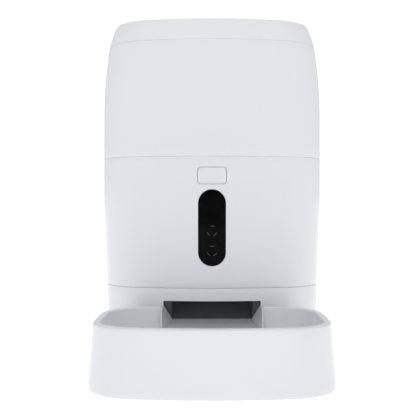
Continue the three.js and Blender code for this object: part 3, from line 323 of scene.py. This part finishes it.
def common(body, other):
    return boolean(body, other, "INTERSECT")


# ------------------------------------------------------------------ materials

def new_material(name):
    material = bpy.data.materials.new(name)
    material.use_nodes = True
    nodes = material.node_tree.nodes
    return material, nodes, material.node_tree.links, nodes["Principled BSDF"]


def surface(name, low, high, scale=60.0, roughness=(0.3, 0.36), grain=0.0, grain_scale=900.0, metallic=0.0,
            coat=0.0, detail=3.0, stretch=None, specular=0.5, subsurface=0.0):
    """A moulded, cast or machined surface: two close tints in soft noise, uneven polish and a fine grain."""
    material, nodes, links, shader = new_material(name)
    place = nodes.new("ShaderNodeTexCoord")
    mapping = nodes.new("ShaderNodeMapping")
    mapping.inputs["Scale"].default_value = stretch or (1, 1, 1)
    links.new(place.outputs["Object"], mapping.inputs["Vector"])
    tint = nodes.new("ShaderNodeTexNoise")
    tint.inputs["Scale"].default_value = scale
    tint.inputs["Detail"].default_value = detail
    links.new(mapping.outputs["Vector"], tint.inputs["Vector"])
    colours = nodes.new("ShaderNodeValToRGB")
    colours.color_ramp.elements[0].position = 0.3
    colours.color_ramp.elements[0].color = (*low, 1)
    colours.color_ramp.elements[1].position = 0.7
    colours.color_ramp.elements[1].color = (*high, 1)
    links.new(tint.outputs["Fac"], colours.inputs["Fac"])
    links.new(colours.outputs["Color"], shader.inputs["Base Color"])
    polish = nodes.new("ShaderNodeMapRange")
    polish.inputs["To Min"].default_value = roughness[0]
    polish.inputs["To Max"].default_value = roughness[1]
    links.new(tint.outputs["Fac"], polish.inputs["Value"])
    links.new(polish.outputs["Result"], shader.inputs["Roughness"])
    if grain:
        fine = nodes.new("ShaderNodeTexNoise")
        fine.inputs["Scale"].default_value = grain_scale
        fine.inputs["Detail"].default_value = 2.0
        links.new(mapping.outputs["Vector"], fine.inputs["Vector"])
        bump = nodes.new("ShaderNodeBump")
        bump.inputs["Strength"].default_value = grain
        bump.inputs["Distance"].default_value = 0.0002
        links.new(fine.outputs["Fac"], bump.inputs["Height"])
        links.new(bump.outputs["Normal"], shader.inputs["Normal"])
    shader.inputs["Metallic"].default_value = metallic
    shader.inputs["Coat Weight"].default_value = coat
    shader.inputs["Coat Roughness"].default_value = 0.08
    shader.inputs["Specular IOR Level"].default_value = specular
    shader.inputs["Subsurface Weight"].default_value = subsurface
    shader.inputs["Subsurface Scale"].default_value = 0.002
    return material


LOOKS = {
    "white_plastic": surface("gloss_white", (0.775, 0.78, 0.8), (0.78, 0.785, 0.805), 12, (0.27, 0.3),
                             0.015, 900),
    "inner_plastic": surface("satin_inner", (0.66, 0.67, 0.69), (0.7, 0.71, 0.73), 60, (0.4, 0.5), 0.2),
    "grey_plastic": surface("textured_grey", (0.25, 0.26, 0.28), (0.29, 0.3, 0.32), 90, (0.5, 0.62),
                            0.6, 1400),
    "black_gloss": surface("black_window", (0.0008, 0.0008, 0.001), (0.0012, 0.0012, 0.0014), 40,
                           (0.05, 0.08), specular=0.03),
    # Dark grey painted as the shade deep inside the chute.
    "painted_shade_grey": surface("painted_shade_grey", (0.09, 0.09, 0.092), (0.11, 0.11, 0.112), 70, (0.5, 0.6), 0.2),
    # Dark grey painted as highlight arcs on the lens rings behind the window.
    "painted_ring_highlight": surface("painted_ring_highlight", (0.02, 0.02, 0.021), (0.026, 0.026, 0.027), 80, (0.4, 0.5)),
    "black_plastic": surface("satin_black", (0.012, 0.012, 0.013), (0.022, 0.022, 0.024), 80, (0.4, 0.55),
                             0.4, 1200),
    "dark_rubber": surface("dark_rubber", (0.03, 0.03, 0.032), (0.05, 0.05, 0.053), 120, (0.7, 0.85),
                           0.7, 1000),
    "pale_silicone": surface("pale_silicone", (0.62, 0.64, 0.66), (0.68, 0.7, 0.72), 50, (0.5, 0.62), 0.2,
                             subsurface=0.15),
    "acetal": surface("waxy_acetal", (0.74, 0.71, 0.62), (0.79, 0.76, 0.68), 70, (0.35, 0.46), 0.15),
    "steel": surface("plated_steel", (0.52, 0.53, 0.55), (0.66, 0.67, 0.69), 140, (0.2, 0.34),
                     0.2, 1500, 1.0),
    "brass": surface("turned_brass", (0.6, 0.42, 0.16), (0.74, 0.55, 0.25), 160, (0.22, 0.36),
                     0.2, 1500, 1.0),
    "circuit_board": surface("solder_mask", (0.012, 0.09, 0.035), (0.02, 0.14, 0.055), 220, (0.25, 0.4),
                             0.3, 700),
}


# ------------------------------------------------------------------ finishing a piece

SMOOTH_ANGLE = math.radians(32)


def piece(made, name, body, slot, *nodes, look=None):
    """Names a finished solid, gives it its look and hides the CAD nodes that it stands for."""
    made.name = name
    made.data.name = name
    made.data.materials.clear()
    made.data.materials.append(look or LOOKS[slot])
    for polygon in made.data.polygons:
        polygon.use_smooth = True
    made.data.set_sharp_from_angle(angle=SMOOTH_ANGLE)
    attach(made, body)
    if nodes:
        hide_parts(*nodes)
    return made


# ------------------------------------------------------------------ the body's outer form

def lean(z):
    """How far the body's side is drawn in at a height."""
    low = FOOT_LEAN * max(0.0, (LEAN_LEVEL - z) / LEAN_LEVEL)
    high = SHOULDER_LEAN * max(0.0, (z - SHOULDER_LEVEL) / (TANK_TOP - SHOULDER_LEVEL)) ** SHOULDER_CURVE
    return low + high


def body_ring(z, inset=0.0):
    return ring(bowed_plan(BODY, lean(z) + inset), z)


def rounded_rim(z, inset, edge, turn, up):
    """One ring of a rim that is rounded by edge; up is 1 at the foot of a stretch and -1 at its top."""
    plan = bowed_plan(BODY, lean(z) + inset + edge * (1 - math.cos(turn)))
    return ring(plan, z + up * edge * (1 - math.sin(turn)))


def body_stretch(z0, z1, inset=0.0, edge=0.0, step=6.0):
    """A stretch of the body between two levels, with both its rims rounded by edge."""
    levels = list(np.linspace(z0 + edge, z1 - edge, max(2, round((z1 - z0) / step))))
    rings = [body_ring(z, inset) for z in levels]
    if edge:
        turns = [math.radians(angle) for angle in (90, 60, 30)]
        low = [rounded_rim(z0, inset, edge, turn, 1) for turn in turns]
        high = [rounded_rim(z1, inset, edge, turn, -1) for turn in reversed(turns)]
        rings = low + rings + high
    return loft(rings)


def casing(z0, z1):
    """A casing: the stretch between two levels, open at both ends."""
    return cut(body_stretch(z0, z1, edge=EDGE_ROUND), body_stretch(z0 - 1, z1 + 1, WALL))


def lid_form(inset, drop, start, edge=0.0):
    """The lid's outside: sides that turn over into a shallow crown. Lowered copies give its inside."""
    lean_top = lean(TANK_TOP)
    t = np.linspace(0, 1, 40)
    corner = (lean_top + LID_EDGE_SLOPE, TANK_TOP + LID_EDGE_HEIGHT - LID_EDGE_SAG)
    ends = ((lean_top, TANK_TOP), (lean_top + LID_EDGE_INSET, TANK_TOP + LID_EDGE_HEIGHT))
    across = (1 - t) ** 2 * ends[0][0] + 2 * t * (1 - t) * corner[0] + t**2 * ends[1][0]
    height = (1 - t) ** 2 * ends[0][1] + 2 * t * (1 - t) * corner[1] + t**2 * ends[1][1]
    rings = []
    for angle in ((90, 60, 30) if edge else ()):
        turn = math.radians(angle)
        rings.append(ring(bowed_plan(BODY, lean_top + inset + edge * (1 - math.cos(turn))),
                          start + edge * (1 - math.sin(turn))))
    rings.append(ring(bowed_plan(BODY, lean_top + inset), start + edge))
    for x, y in zip(across, height):
        if y - drop > start + edge + 0.4:
            rings.append(ring(bowed_plan(BODY, x + inset), y - drop))
    last = bowed_plan(BODY, lean_top + LID_EDGE_INSET + inset)
    rim = TANK_TOP + LID_EDGE_HEIGHT - drop
    for scale in (0.97, 0.94, 0.9, 0.85, 0.78, 0.7, 0.6, 0.5, 0.4, 0.3, 0.2, 0.1):
        rise = LID_CROWN * (1 - scale**2) - 0.06
        rings.append(ring(PLAN_CENTRE + scale * (last - PLAN_CENTRE), rim + rise))
    return loft(rings)


# ------------------------------------------------------------------ base and chute

def notched_lip(level):
    """A narrow collar that stands up inside the casing above."""
    outer = body_stretch(level - 5, level + 2.5, WALL + GAP)
    return cut(outer, body_stretch(level - 6, level + 3, WALL + GAP + 1.5))


BODY_FACE = BODY["front"] + lean(CHUTE_TOP)


def base_shell():
    """The base casing, with the chute's mouth, the seat for its roof and the hole for the inlet."""
    reach = CHUTE_HALF + CHUTE_WALL + GAP
    low = CHUTE_LIP - CHUTE_WALL - GAP
    face = block([-reach, BODY["front"] - 5, low], [reach, BODY_FACE + 12, BOWL_TOP - 1 + GAP])
    opening = block([-CHUTE_HALF, BODY["front"] - 5, CHUTE_LIP], [CHUTE_HALF, BODY_FACE + 12, CHUTE_TOP])
    seat = common(block([-reach, BODY_FACE, low], [reach, BODY_FACE + 16, CHUTE_TOP + CHUTE_WALL + GAP]),
                  body_stretch(FOOT, BASE_TOP, WALL))
    socket = middle("power_inlet")
    inlet = throughbar(socket.x, socket.z, BODY["rear"] - 20, BODY["rear"] + 2, 5.8)
    shell = cut(casing(FOOT, BASE_TOP - HOUSING_JOINT / 2), face, opening, seat, inlet)
    return union(shell, notched_lip(BASE_TOP))


def chute_path(grow, overrun, corner=0.5, steps=4):
    """The food's path as a closed skin with round corners, grown outwards and run on past both ends."""
    outlet = span("chute")[1].z
    bend = BODY["front"] + CHUTE_BEND
    mouth = BODY_FACE + CHUTE_MOUTH_DEPTH
    ramp = CHUTE_LIP + (CHUTE_BEND_LEVEL - CHUTE_LIP) * (mouth - CHUTE_FRONT) / (bend - CHUTE_FRONT)
    sections = [
        ((CHUTE_FRONT, CHUTE_LIP), (CHUTE_FRONT, CHUTE_TOP), CHUTE_HALF),
        ((mouth, ramp), (mouth, CHUTE_TOP), CHUTE_HALF),
        ((bend, CHUTE_BEND_LEVEL), (BODY_FACE + 8, CHUTE_TOP), CHUTE_BEND_HALF),
        ((ROTOR_Y - 26.0, outlet), (ROTOR_Y - 57.5, outlet), CHUTE_OUTLET_HALF),
    ]
    rings = []
    for low, high, half in sections:
        low, high = np.array(low), np.array(high)
        length = np.linalg.norm(high - low)
        up = (high - low) / length
        outline = rounded_rectangle(2 * (half + grow), length + 2 * grow, corner, 0, length / 2, steps)
        rings.append(np.array([[x, *(low + up * v)] for x, v in outline]))
    if overrun:
        rings.insert(0, rings[0] - [0, overrun, 0])
        rings.append(rings[-1] + [0, 0, overrun])
    return loft([points[::-1] for points in rings], twisted=True)


ROTOR_Y = middle("rotor_shaft").y
CHUTE_FRONT = span("chute")[0].y


def chute():
    """The whole chute; ahead of the body's wall only the cheeks and the ramp go on, under the bowl's rim."""
    ahead = block([-CHUTE_HALF - 10, CHUTE_FRONT - 5, BOWL_TOP - 1],
                  [CHUTE_HALF + 10, BODY_FACE + WALL + 10, CHUTE_TOP + 4])
    ahead = cut(ahead, body_stretch(FOOT, BASE_TOP, WALL + GAP))
    return cut(chute_path(CHUTE_WALL, 0), chute_path(0, 20), ahead)


piece(base_shell(), "base_casing", "base", "white_plastic", "base_shell")
def painted_shade_region():
    """The share of the chute painted dark grey as shade: behind a plane from the mouth's roof down to the
    ramp's bend, along the line where the shadow on the cheeks falls.
    """
    start = BODY_FACE + WALL + GAP
    bend = BODY["front"] + CHUTE_BEND
    under = CHUTE_BEND_LEVEL - 12
    back = bend + PAINTED_SHADE_DEPTH
    over = BASE_TOP + 100
    outline = [(start, CHUTE_TOP - 1), (bend, CHUTE_BEND_LEVEL), (bend + 4, under), (back, under),
               (back, over), (start, over)]
    sides = (-PAINTED_SHADE_MARGIN, PAINTED_SHADE_MARGIN)
    return loft([np.array([[x, y, z] for y, z in outline], float) for x in sides])


# The chute is split in two: the part behind the plane is painted dark grey as shade, the rest stays white.
piece(cut(chute(), painted_shade_region()), "food_chute", "base", "white_plastic", "chute")
piece(common(chute(), painted_shade_region()), "chute_painted_shade", "base", "white_plastic", "chute",
      look=LOOKS["painted_shade_grey"])


# ------------------------------------------------------------------ main housing, window and button

window_low, window_high = span("camera_window")
WINDOW_HALF = window_high.x + GAP
WINDOW_HEIGHT = window_high.z - window_low.z + 2 * GAP
WINDOW_LEVEL = (window_high.z + window_low.z) / 2
button_low, button_high = span("feed_button")
BUTTON_WIDTH = 28.4
BUTTON_HEIGHT = 16.4
BUTTON_LEVEL = (button_high.z + button_low.z) / 2
BUTTON_CORNER = 3.0
BUTTON_GAP = 0.45
RING_RADIUS = 5.2
RING_WIDTH = 0.7
RING_HEIGHT = 0.08
# Where on each lens ring a grey arc is painted as a highlight, in degrees from +X.
RING_HIGHLIGHT_ARCS = (90, 226, 314)
WINDOW_FRONT = 0.15
PANEL_FRONT = BODY["front"] - 5


def stadium(less=0.0, steps=28):
    half = WINDOW_HALF - less
    return rounded_rectangle(2 * half, WINDOW_HEIGHT - 2 * less, half - 0.01, 0, WINDOW_LEVEL, steps)


def front_piece(outline, front, back):
    """An elevation outline pressed through the front wall, kept between two depths under its surface."""
    whole = common(pushed(outline, PANEL_FRONT, BODY["front"] + 25),
                   body_stretch(BASE_TOP - 5, HOUSING_TOP + 5, front))
    return cut(whole, body_stretch(BASE_TOP - 6, HOUSING_TOP + 6, back))


def main_housing():
    """The housing, with the window's seat, the button's hole and the sound slots in the back."""
    pad_outline = rounded_rectangle(2 * WINDOW_HALF + 6, WINDOW_HEIGHT + 6, WINDOW_HALF + 2.9, 0,
                                    WINDOW_LEVEL)
    pad = front_piece(pad_outline, WALL - 0.5, WINDOW_FRONT + 4.3)
    recess = cut(pushed(stadium(), PANEL_FRONT, BODY["front"] + 10),
                 body_stretch(BASE_TOP - 6, HOUSING_TOP + 6, WINDOW_FRONT + 2.3))
    aperture = pushed(stadium(3.5), PANEL_FRONT, BODY["front"] + 15)
    button_hole = rounded_rectangle(BUTTON_WIDTH + 2 * BUTTON_GAP, BUTTON_HEIGHT + 2 * BUTTON_GAP,
                                    BUTTON_CORNER + BUTTON_GAP, 0, BUTTON_LEVEL)
    button = pushed(button_hole, PANEL_FRONT, BODY["front"] + 10)
    drum = span("metering_bowl")
    deck = drum[1].z - 3 - GAP
    shelf = cut(body_stretch(deck - 1.8, deck, WALL - 0.5), body_stretch(deck - 6, deck + 4, WALL + 3))
    sound = middle("speaker")
    microphone_x = middle("microphone").x
    slots = [
        pushed(rounded_rectangle(28 - 4 * abs(row), 2.2, 1.05, sound.x, sound.z + 5 * row, 6),
               BODY["rear"] - 20, BODY["rear"] + 2)
        for row in (-2, -1, 0, 1, 2)
    ]
    hole = throughbar(microphone_x, sound.z, BODY["rear"] - 12, BODY["rear"] + 2, 0.9, sides=24)
    shell = casing(BASE_TOP + HOUSING_JOINT / 2, HOUSING_TOP - TANK_JOINT / 2)
    return cut(union(shell, pad, shelf), recess, aperture, button, *slots, hole)


piece(main_housing(), "housing_casing", "base", "white_plastic", "main_housing")
piece(front_piece(stadium(GAP), WINDOW_FRONT, WINDOW_FRONT + 2), "smoked_window", "base", "black_gloss",
      "camera_window")


def ring_highlight_arc(level, towards, spread=28.0, steps=10):
    """A short stretch of a ring's outline about the window's centre line, in degrees from +X: a painted
    highlight where light glints on a lens ring.
    """
    start, end = math.radians(towards - spread), math.radians(towards + spread)
    outer = arc(0, level, RING_RADIUS, start, end, steps)
    inner = arc(0, level, RING_RADIUS - RING_WIDTH, start, end, steps)
    return np.vstack([outer, inner[::-1]])


# Grey arcs painted on the black window as the highlights that glint on each lens's ring.
for node in ("camera_lens", "infrared_lamp"):
    for number, towards in enumerate(RING_HIGHLIGHT_ARCS, start=1):
        painted_highlight = front_piece(ring_highlight_arc(middle(node).z, towards), WINDOW_FRONT - RING_HEIGHT, WINDOW_FRONT)
        piece(painted_highlight, f"{node}_mark_{number}", "base", "black_gloss", look=LOOKS["painted_ring_highlight"])


def button_outline(more, corner):
    """The button's outline, with this much added to its width and height."""
    return rounded_rectangle(BUTTON_WIDTH + more, BUTTON_HEIGHT + more, corner, 0, BUTTON_LEVEL)


def feed_button():
    cap = front_piece(button_outline(0, BUTTON_CORNER), 0.1, 2.2)
    stem = pushed(button_outline(-3, BUTTON_CORNER), BODY["front"] + 1.5, BODY["front"] + WALL + 1.5)
    flange = pushed(button_outline(3, BUTTON_CORNER + 1), BODY["front"] + WALL + 1,
                    BODY["front"] + WALL + 2.2)
    plunger = throughbar(0, BUTTON_LEVEL, BODY["front"] + WALL + 2, button_high.y, 2.5)
    return union(cap, stem, flange, plunger)


piece(feed_button(), "feed_button_cap", "feed_button", "white_plastic", "feed_button")


# ------------------------------------------------------------------ hopper tank

HINGE_RADIUS = 3.2
HINGE_CLEAR = HINGE_RADIUS + 0.5
HINGE_HALF = 44.0
HINGE_KNUCKLE = 14.0
BOLT_WIDTH = 20.0
bolt_low, bolt_high = span("lid_lock_bolt")
CATCH_LEVEL = bolt_high.z + GAP
CATCH_FACE = bolt_low.y - 1
FUNNEL_TOP = HOUSING_TOP + 55
THROAT_RADIUS = 55.5
THROAT_LEVEL = span("hopper_tank")[0].z


def circle_ring(radius, z, like):
    """Points of a circle about the rotor's axis, each in line with one of a plan outline's."""
    away = like - [0, ROTOR_Y]
    away = radius * away / np.linalg.norm(away, axis=1)[:, None]
    return ring(away + [0, ROTOR_Y], z)


def hopper_tank():
    """The hopper: its casing, the funnel and throat inside, the hinge knuckles and the catch."""
    like = bowed_plan(BODY, lean(FUNNEL_TOP))
    outside = loft([
        circle_ring(THROAT_RADIUS + WALL, THROAT_LEVEL, like),
        circle_ring(THROAT_RADIUS + WALL, HOUSING_TOP + 1, like),
        body_ring(FUNNEL_TOP, WALL - 1),
        body_ring(FUNNEL_TOP + 4, WALL - 1),
    ])
    inside = loft([
        circle_ring(THROAT_RADIUS, THROAT_LEVEL - 5, like),
        circle_ring(THROAT_RADIUS, HOUSING_TOP + 4, like),
        body_ring(FUNNEL_TOP + 3, WALL),
        *[body_ring(z, WALL) for z in np.linspace(FUNNEL_TOP + 8, TANK_TOP, 10)],
        body_ring(TANK_TOP + 10, WALL),
    ])
    reach = BODY["half"] - BODY["back_corner"] + 14
    groove = union(
        crossbar(HINGE_Y, TANK_TOP, -reach, reach, HINGE_CLEAR, 64),
        block([-reach, HINGE_Y, TANK_TOP - HINGE_CLEAR], [reach, BODY["rear"] + 1, TANK_TOP + 5]),
    )
    ledge = block([-BOLT_WIDTH / 2 - 2, CATCH_FACE - 5, CATCH_LEVEL],
                  [BOLT_WIDTH / 2 + 2, CATCH_FACE, CATCH_LEVEL + 2.2])
    shell = cut(casing(HOUSING_TOP + TANK_JOINT / 2, TANK_TOP - LID_JOINT / 2), groove)
    shell = union(shell, cut(outside, inside), ledge)
    for side in (-1, 1):
        start, end = sorted((side * (HINGE_HALF - HINGE_KNUCKLE), side * HINGE_HALF))
        shell = union(
            shell,
            crossbar(HINGE_Y, TANK_TOP, start, end, HINGE_RADIUS),
            block([start, HINGE_Y - 1.2, TANK_TOP - 8], [end, HINGE_Y + 1.2, TANK_TOP - 1]),
            block([start, HINGE_Y - 1.2, TANK_TOP - 8], [end, HINGE_Y + 3, TANK_TOP - HINGE_CLEAR]),
        )
    return cut(shell, crossbar(HINGE_Y, TANK_TOP, -HINGE_HALF - 1, HINGE_HALF + 1, 1.8))


piece(hopper_tank(), "food_tank", "tank", "white_plastic", "hopper_tank")


# ------------------------------------------------------------------ lid

LOCK_TRAVEL = 4.5
LOCK_Y = BODY["front"] + 36
PAD_Y = LOCK_Y + LOCK_TRAVEL / 2
LOCK_FLOOR = LID_TOP - 3.4


def lid_shell():
    """The lid, with its hinge barrel and the pocket for the lock."""
    bottom = TANK_TOP + LID_JOINT / 2
    shell = cut(lid_form(0, 0, bottom, EDGE_ROUND), lid_form(WALL, WALL, bottom - 3))
    reach = BODY["half"] - BODY["back_corner"] + 9
    barrel = common(crossbar(HINGE_Y, TANK_TOP, -reach, reach, HINGE_RADIUS),
                    raised(bowed_plan(BODY, lean(TANK_TOP) + 0.1), TANK_TOP - 10, TANK_TOP + 10))
    backing = common(block([-25, LOCK_Y - 20, LOCK_FLOOR - WALL], [25, LOCK_Y + 20, LID_TOP]),
                     lid_form(0, 0, bottom))
    shell = union(shell, barrel, backing)
    slots = []
    for side in (-1, 1):
        start, end = sorted((side * (HINGE_HALF - HINGE_KNUCKLE - GAP), side * (HINGE_HALF + GAP)))
        slots.append(crossbar(HINGE_Y, TANK_TOP, start, end, HINGE_CLEAR))
    pocket = raised(rounded_rectangle(30, 14 + LOCK_TRAVEL + 4, 5, 0, LOCK_Y), LOCK_FLOOR, LID_TOP + 2)
    stem = block([-7.3, PAD_Y - LOCK_TRAVEL - 2.8, bottom], [7.3, PAD_Y + 2.8, LID_TOP])
    pin = crossbar(HINGE_Y, TANK_TOP, -HINGE_HALF, HINGE_HALF, 1.8)
    return cut(shell, *slots, pin, pocket, stem)


piece(lid_shell(), "lid_cover", "lid", "white_plastic", "lid_shell")


# ------------------------------------------------------------------ food bowl

def bowl_ring(z, grow, inset):
    return ring(bowed_plan(BOWL, inset, grow), z)


def bowl_side(z):
    """How far the bowl's outside is grown at a height."""
    return BOWL_FLARE * max(0.0, 1 - z / (BOWL_TOP - 2)) ** 1.1


def quarter(steps):
    return [math.radians(90 * step / steps) for step in range(steps + 1)]


def basin(skin):
    """The inside of the bowl, grown outwards by a skin."""
    depth = BOWL_RIM + BOWL_DRAFT
    floor_round = 9.0
    rings = []
    for turn in quarter(8):
        inset = depth - 1.2 + floor_round * (1 - math.sin(turn)) - skin
        rings.append(bowl_ring(BOWL_FLOOR - skin + floor_round * (1 - math.cos(turn)), 0, inset))
    start = BOWL_FLOOR + floor_round
    for share in np.linspace(0.1, 1, 8):
        z = start + share * (BOWL_TOP - 3 - start)
        rings.append(bowl_ring(z, 0, depth - 1.2 + share * (BOWL_RIM + 0.6 - depth + 1.2) - skin))
    if skin:
        return loft(rings)
    for turn in quarter(5):
        inset = BOWL_RIM + 0.4 - 1.4 * (1 - math.cos(turn))
        rings.append(bowl_ring(BOWL_TOP - 1.2 + 1.2 * math.sin(turn), 0, inset))
    rings.append(bowl_ring(BOWL_TOP + 2, 0, BOWL_RIM - 1.4))
    return loft(rings)


def food_bowl():
    """The bowl: a flared skirt, hollow underneath, around a rounded basin with a notch for the chute."""
    outer = [bowl_ring(0, BOWL_FLARE, 0.8), bowl_ring(0.25, BOWL_FLARE, 0.25), bowl_ring(0.8, BOWL_FLARE, 0)]
    outer += [bowl_ring(z, bowl_side(z), 0) for z in np.linspace(4, BOWL_TOP - 2, 14)]
    outer += [
        bowl_ring(BOWL_TOP - 2 + 2 * math.sin(turn), 0, 2 * (1 - math.cos(turn)))
        for turn in quarter(6)[1:]
    ]
    outside = loft(outer)
    hollow = cut(
        loft([
            bowl_ring(-1, BOWL_FLARE, BOWL_SKIN),
            bowl_ring(BOWL_TOP * 0.5, BOWL_FLARE * 0.45, BOWL_SKIN),
            bowl_ring(BOWL_TOP - BOWL_SKIN - 1, 0, BOWL_SKIN + 0.3),
        ]),
        basin(BOWL_SKIN),
    )
    notch_half = CHUTE_HALF + CHUTE_WALL + 0.5
    notch_low = CHUTE_LIP - CHUTE_WALL - 0.5
    back = BOWL["rear"]
    frame_block = common(
        block([-notch_half - BOWL_SKIN, back - BOWL_RIM - 3, notch_low - BOWL_SKIN],
              [notch_half + BOWL_SKIN, back, BOWL_TOP - 2]),
        loft([bowl_ring(z, 0, 0.05) for z in (0, BOWL_TOP)]),
    )
    notch = block([-notch_half, back - BOWL_RIM - 20, notch_low], [notch_half, back + 5, BOWL_TOP + 5])
    return cut(union(cut(outside, hollow), frame_block), basin(0), notch)


piece(food_bowl(), "feeding_bowl", "bowl", "white_plastic", "food_bowl")


# ------------------------------------------------------------------ looks of the CAD pieces that stay

SLOT_OF = {
    "inner_plastic": ["metering_bowl", "outlet_baffle", "lid_liner", "desiccant_box", "desiccant_cap"],
    "grey_plastic": ["bottom_plate", "battery_door"],
    "black_plastic": ["camera_lens", "infrared_lamp", "feed_switch", "power_inlet", "speaker", "gear_case",
                      "food_beam_emitter", "food_beam_receiver"],
    "dark_rubber": [f"rubber_foot_{number}" for number in (1, 2, 3, 4)],
    "pale_silicone": ["portion_rotor", "stirrer", "lid_seal"],
    "acetal": ["drive_gear", "idler_gear", "lid_lock_bolt"],
    "white_plastic": ["lid_lock_slider"],
    "brass": ["motor_pinion", "lower_bush", "upper_bush"],
    "circuit_board": ["front_board", "main_board"],
}
for node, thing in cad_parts.items():
    slot = next((slot for slot, members in SLOT_OF.items() if node in members), "steel")
    thing.data.materials.clear()
    thing.data.materials.append(LOOKS[slot])


# ------------------------------------------------------------------ floor, light and camera

# The floor is a sheet just under the feet, with no thickness.
FLOOR_REACH = 30000.0
FLOOR_LEVEL = -0.01

# The picture is this many pixels wide, so a shift in pixels is divided by it.
FRAME_WIDTH = 420

def studio():
    plan = np.array([[-1, -1], [1, -1], [1, 1], [-1, 1]], float) * FLOOR_REACH
    floor = loft([ring(plan, FLOOR_LEVEL), ring(plan, FLOOR_LEVEL)])
    floor.name = "floor"
    material, nodes, links, shader = new_material("pale_floor")
    noise = nodes.new("ShaderNodeTexNoise")
    noise.inputs["Scale"].default_value = 3.0
    tint = nodes.new("ShaderNodeValToRGB")
    tint.color_ramp.elements[0].color = (0.86, 0.86, 0.86, 1)
    tint.color_ramp.elements[1].color = (0.88, 0.88, 0.88, 1)
    links.new(noise.outputs["Fac"], tint.inputs["Fac"])
    links.new(tint.outputs["Color"], shader.inputs["Base Color"])
    shader.inputs["Roughness"].default_value = 0.9
    shader.inputs["Emission Color"].default_value = (1, 1, 1, 1)
    shader.inputs["Emission Strength"].default_value = 0.31
    floor.data.materials.append(material)

    world = bpy.data.worlds.new("studio")
    bpy.context.scene.world = world
    world.use_nodes = True
    nodes = world.node_tree.nodes
    links = world.node_tree.links
    seen = nodes["Background"]
    seen.inputs["Color"].default_value = (1, 1, 1, 1)
    seen.inputs["Strength"].default_value = 1.1
    fill = nodes.new("ShaderNodeBackground")
    fill.inputs["Color"].default_value = (0.95, 0.97, 1.0, 1)
    fill.inputs["Strength"].default_value = 0.7
    path = nodes.new("ShaderNodeLightPath")
    choose = nodes.new("ShaderNodeMixShader")
    links.new(path.outputs["Is Camera Ray"], choose.inputs["Fac"])
    links.new(fill.outputs["Background"], choose.inputs[1])
    links.new(seen.outputs["Background"], choose.inputs[2])
    links.new(choose.outputs["Shader"], nodes["World Output"].inputs["Surface"])


def softbox(name, place, target, width, height, power):
    light = bpy.data.lights.new(name, "AREA")
    light.shape = "RECTANGLE"
    light.size = width
    light.size_y = height
    light.energy = power
    made = bpy.data.objects.new(name, light)
    made.location = place
    made.rotation_euler = (Vector(target) - Vector(place)).to_track_quat("-Z", "Y").to_euler()
    bpy.context.scene.collection.objects.link(made)


def camera():
    data = bpy.data.cameras.new("camera")
    data.lens = 58.3
    data.sensor_width = 36.0
    data.clip_end = 200.0
    data.shift_x = -2 / FRAME_WIDTH
    data.shift_y = -4.3 / FRAME_WIDTH
    made = bpy.data.objects.new("camera", data)
    made.location = (0, -0.7073, 0.1576)
    made.rotation_euler = (math.pi / 2, 0, 0)
    bpy.context.scene.collection.objects.link(made)
    bpy.context.scene.camera = made


studio()
softbox("top_softbox", (0, -0.35, 1.1), (0, 0.0, 0.15), 1.0, 0.8, 1.5)
softbox("bowl_softbox", (0, -0.62, 0.04), (0, -0.1, 0.04), 0.5, 0.08, 0.14)
camera()
bpy.context.scene.view_settings.view_transform = "Standard"
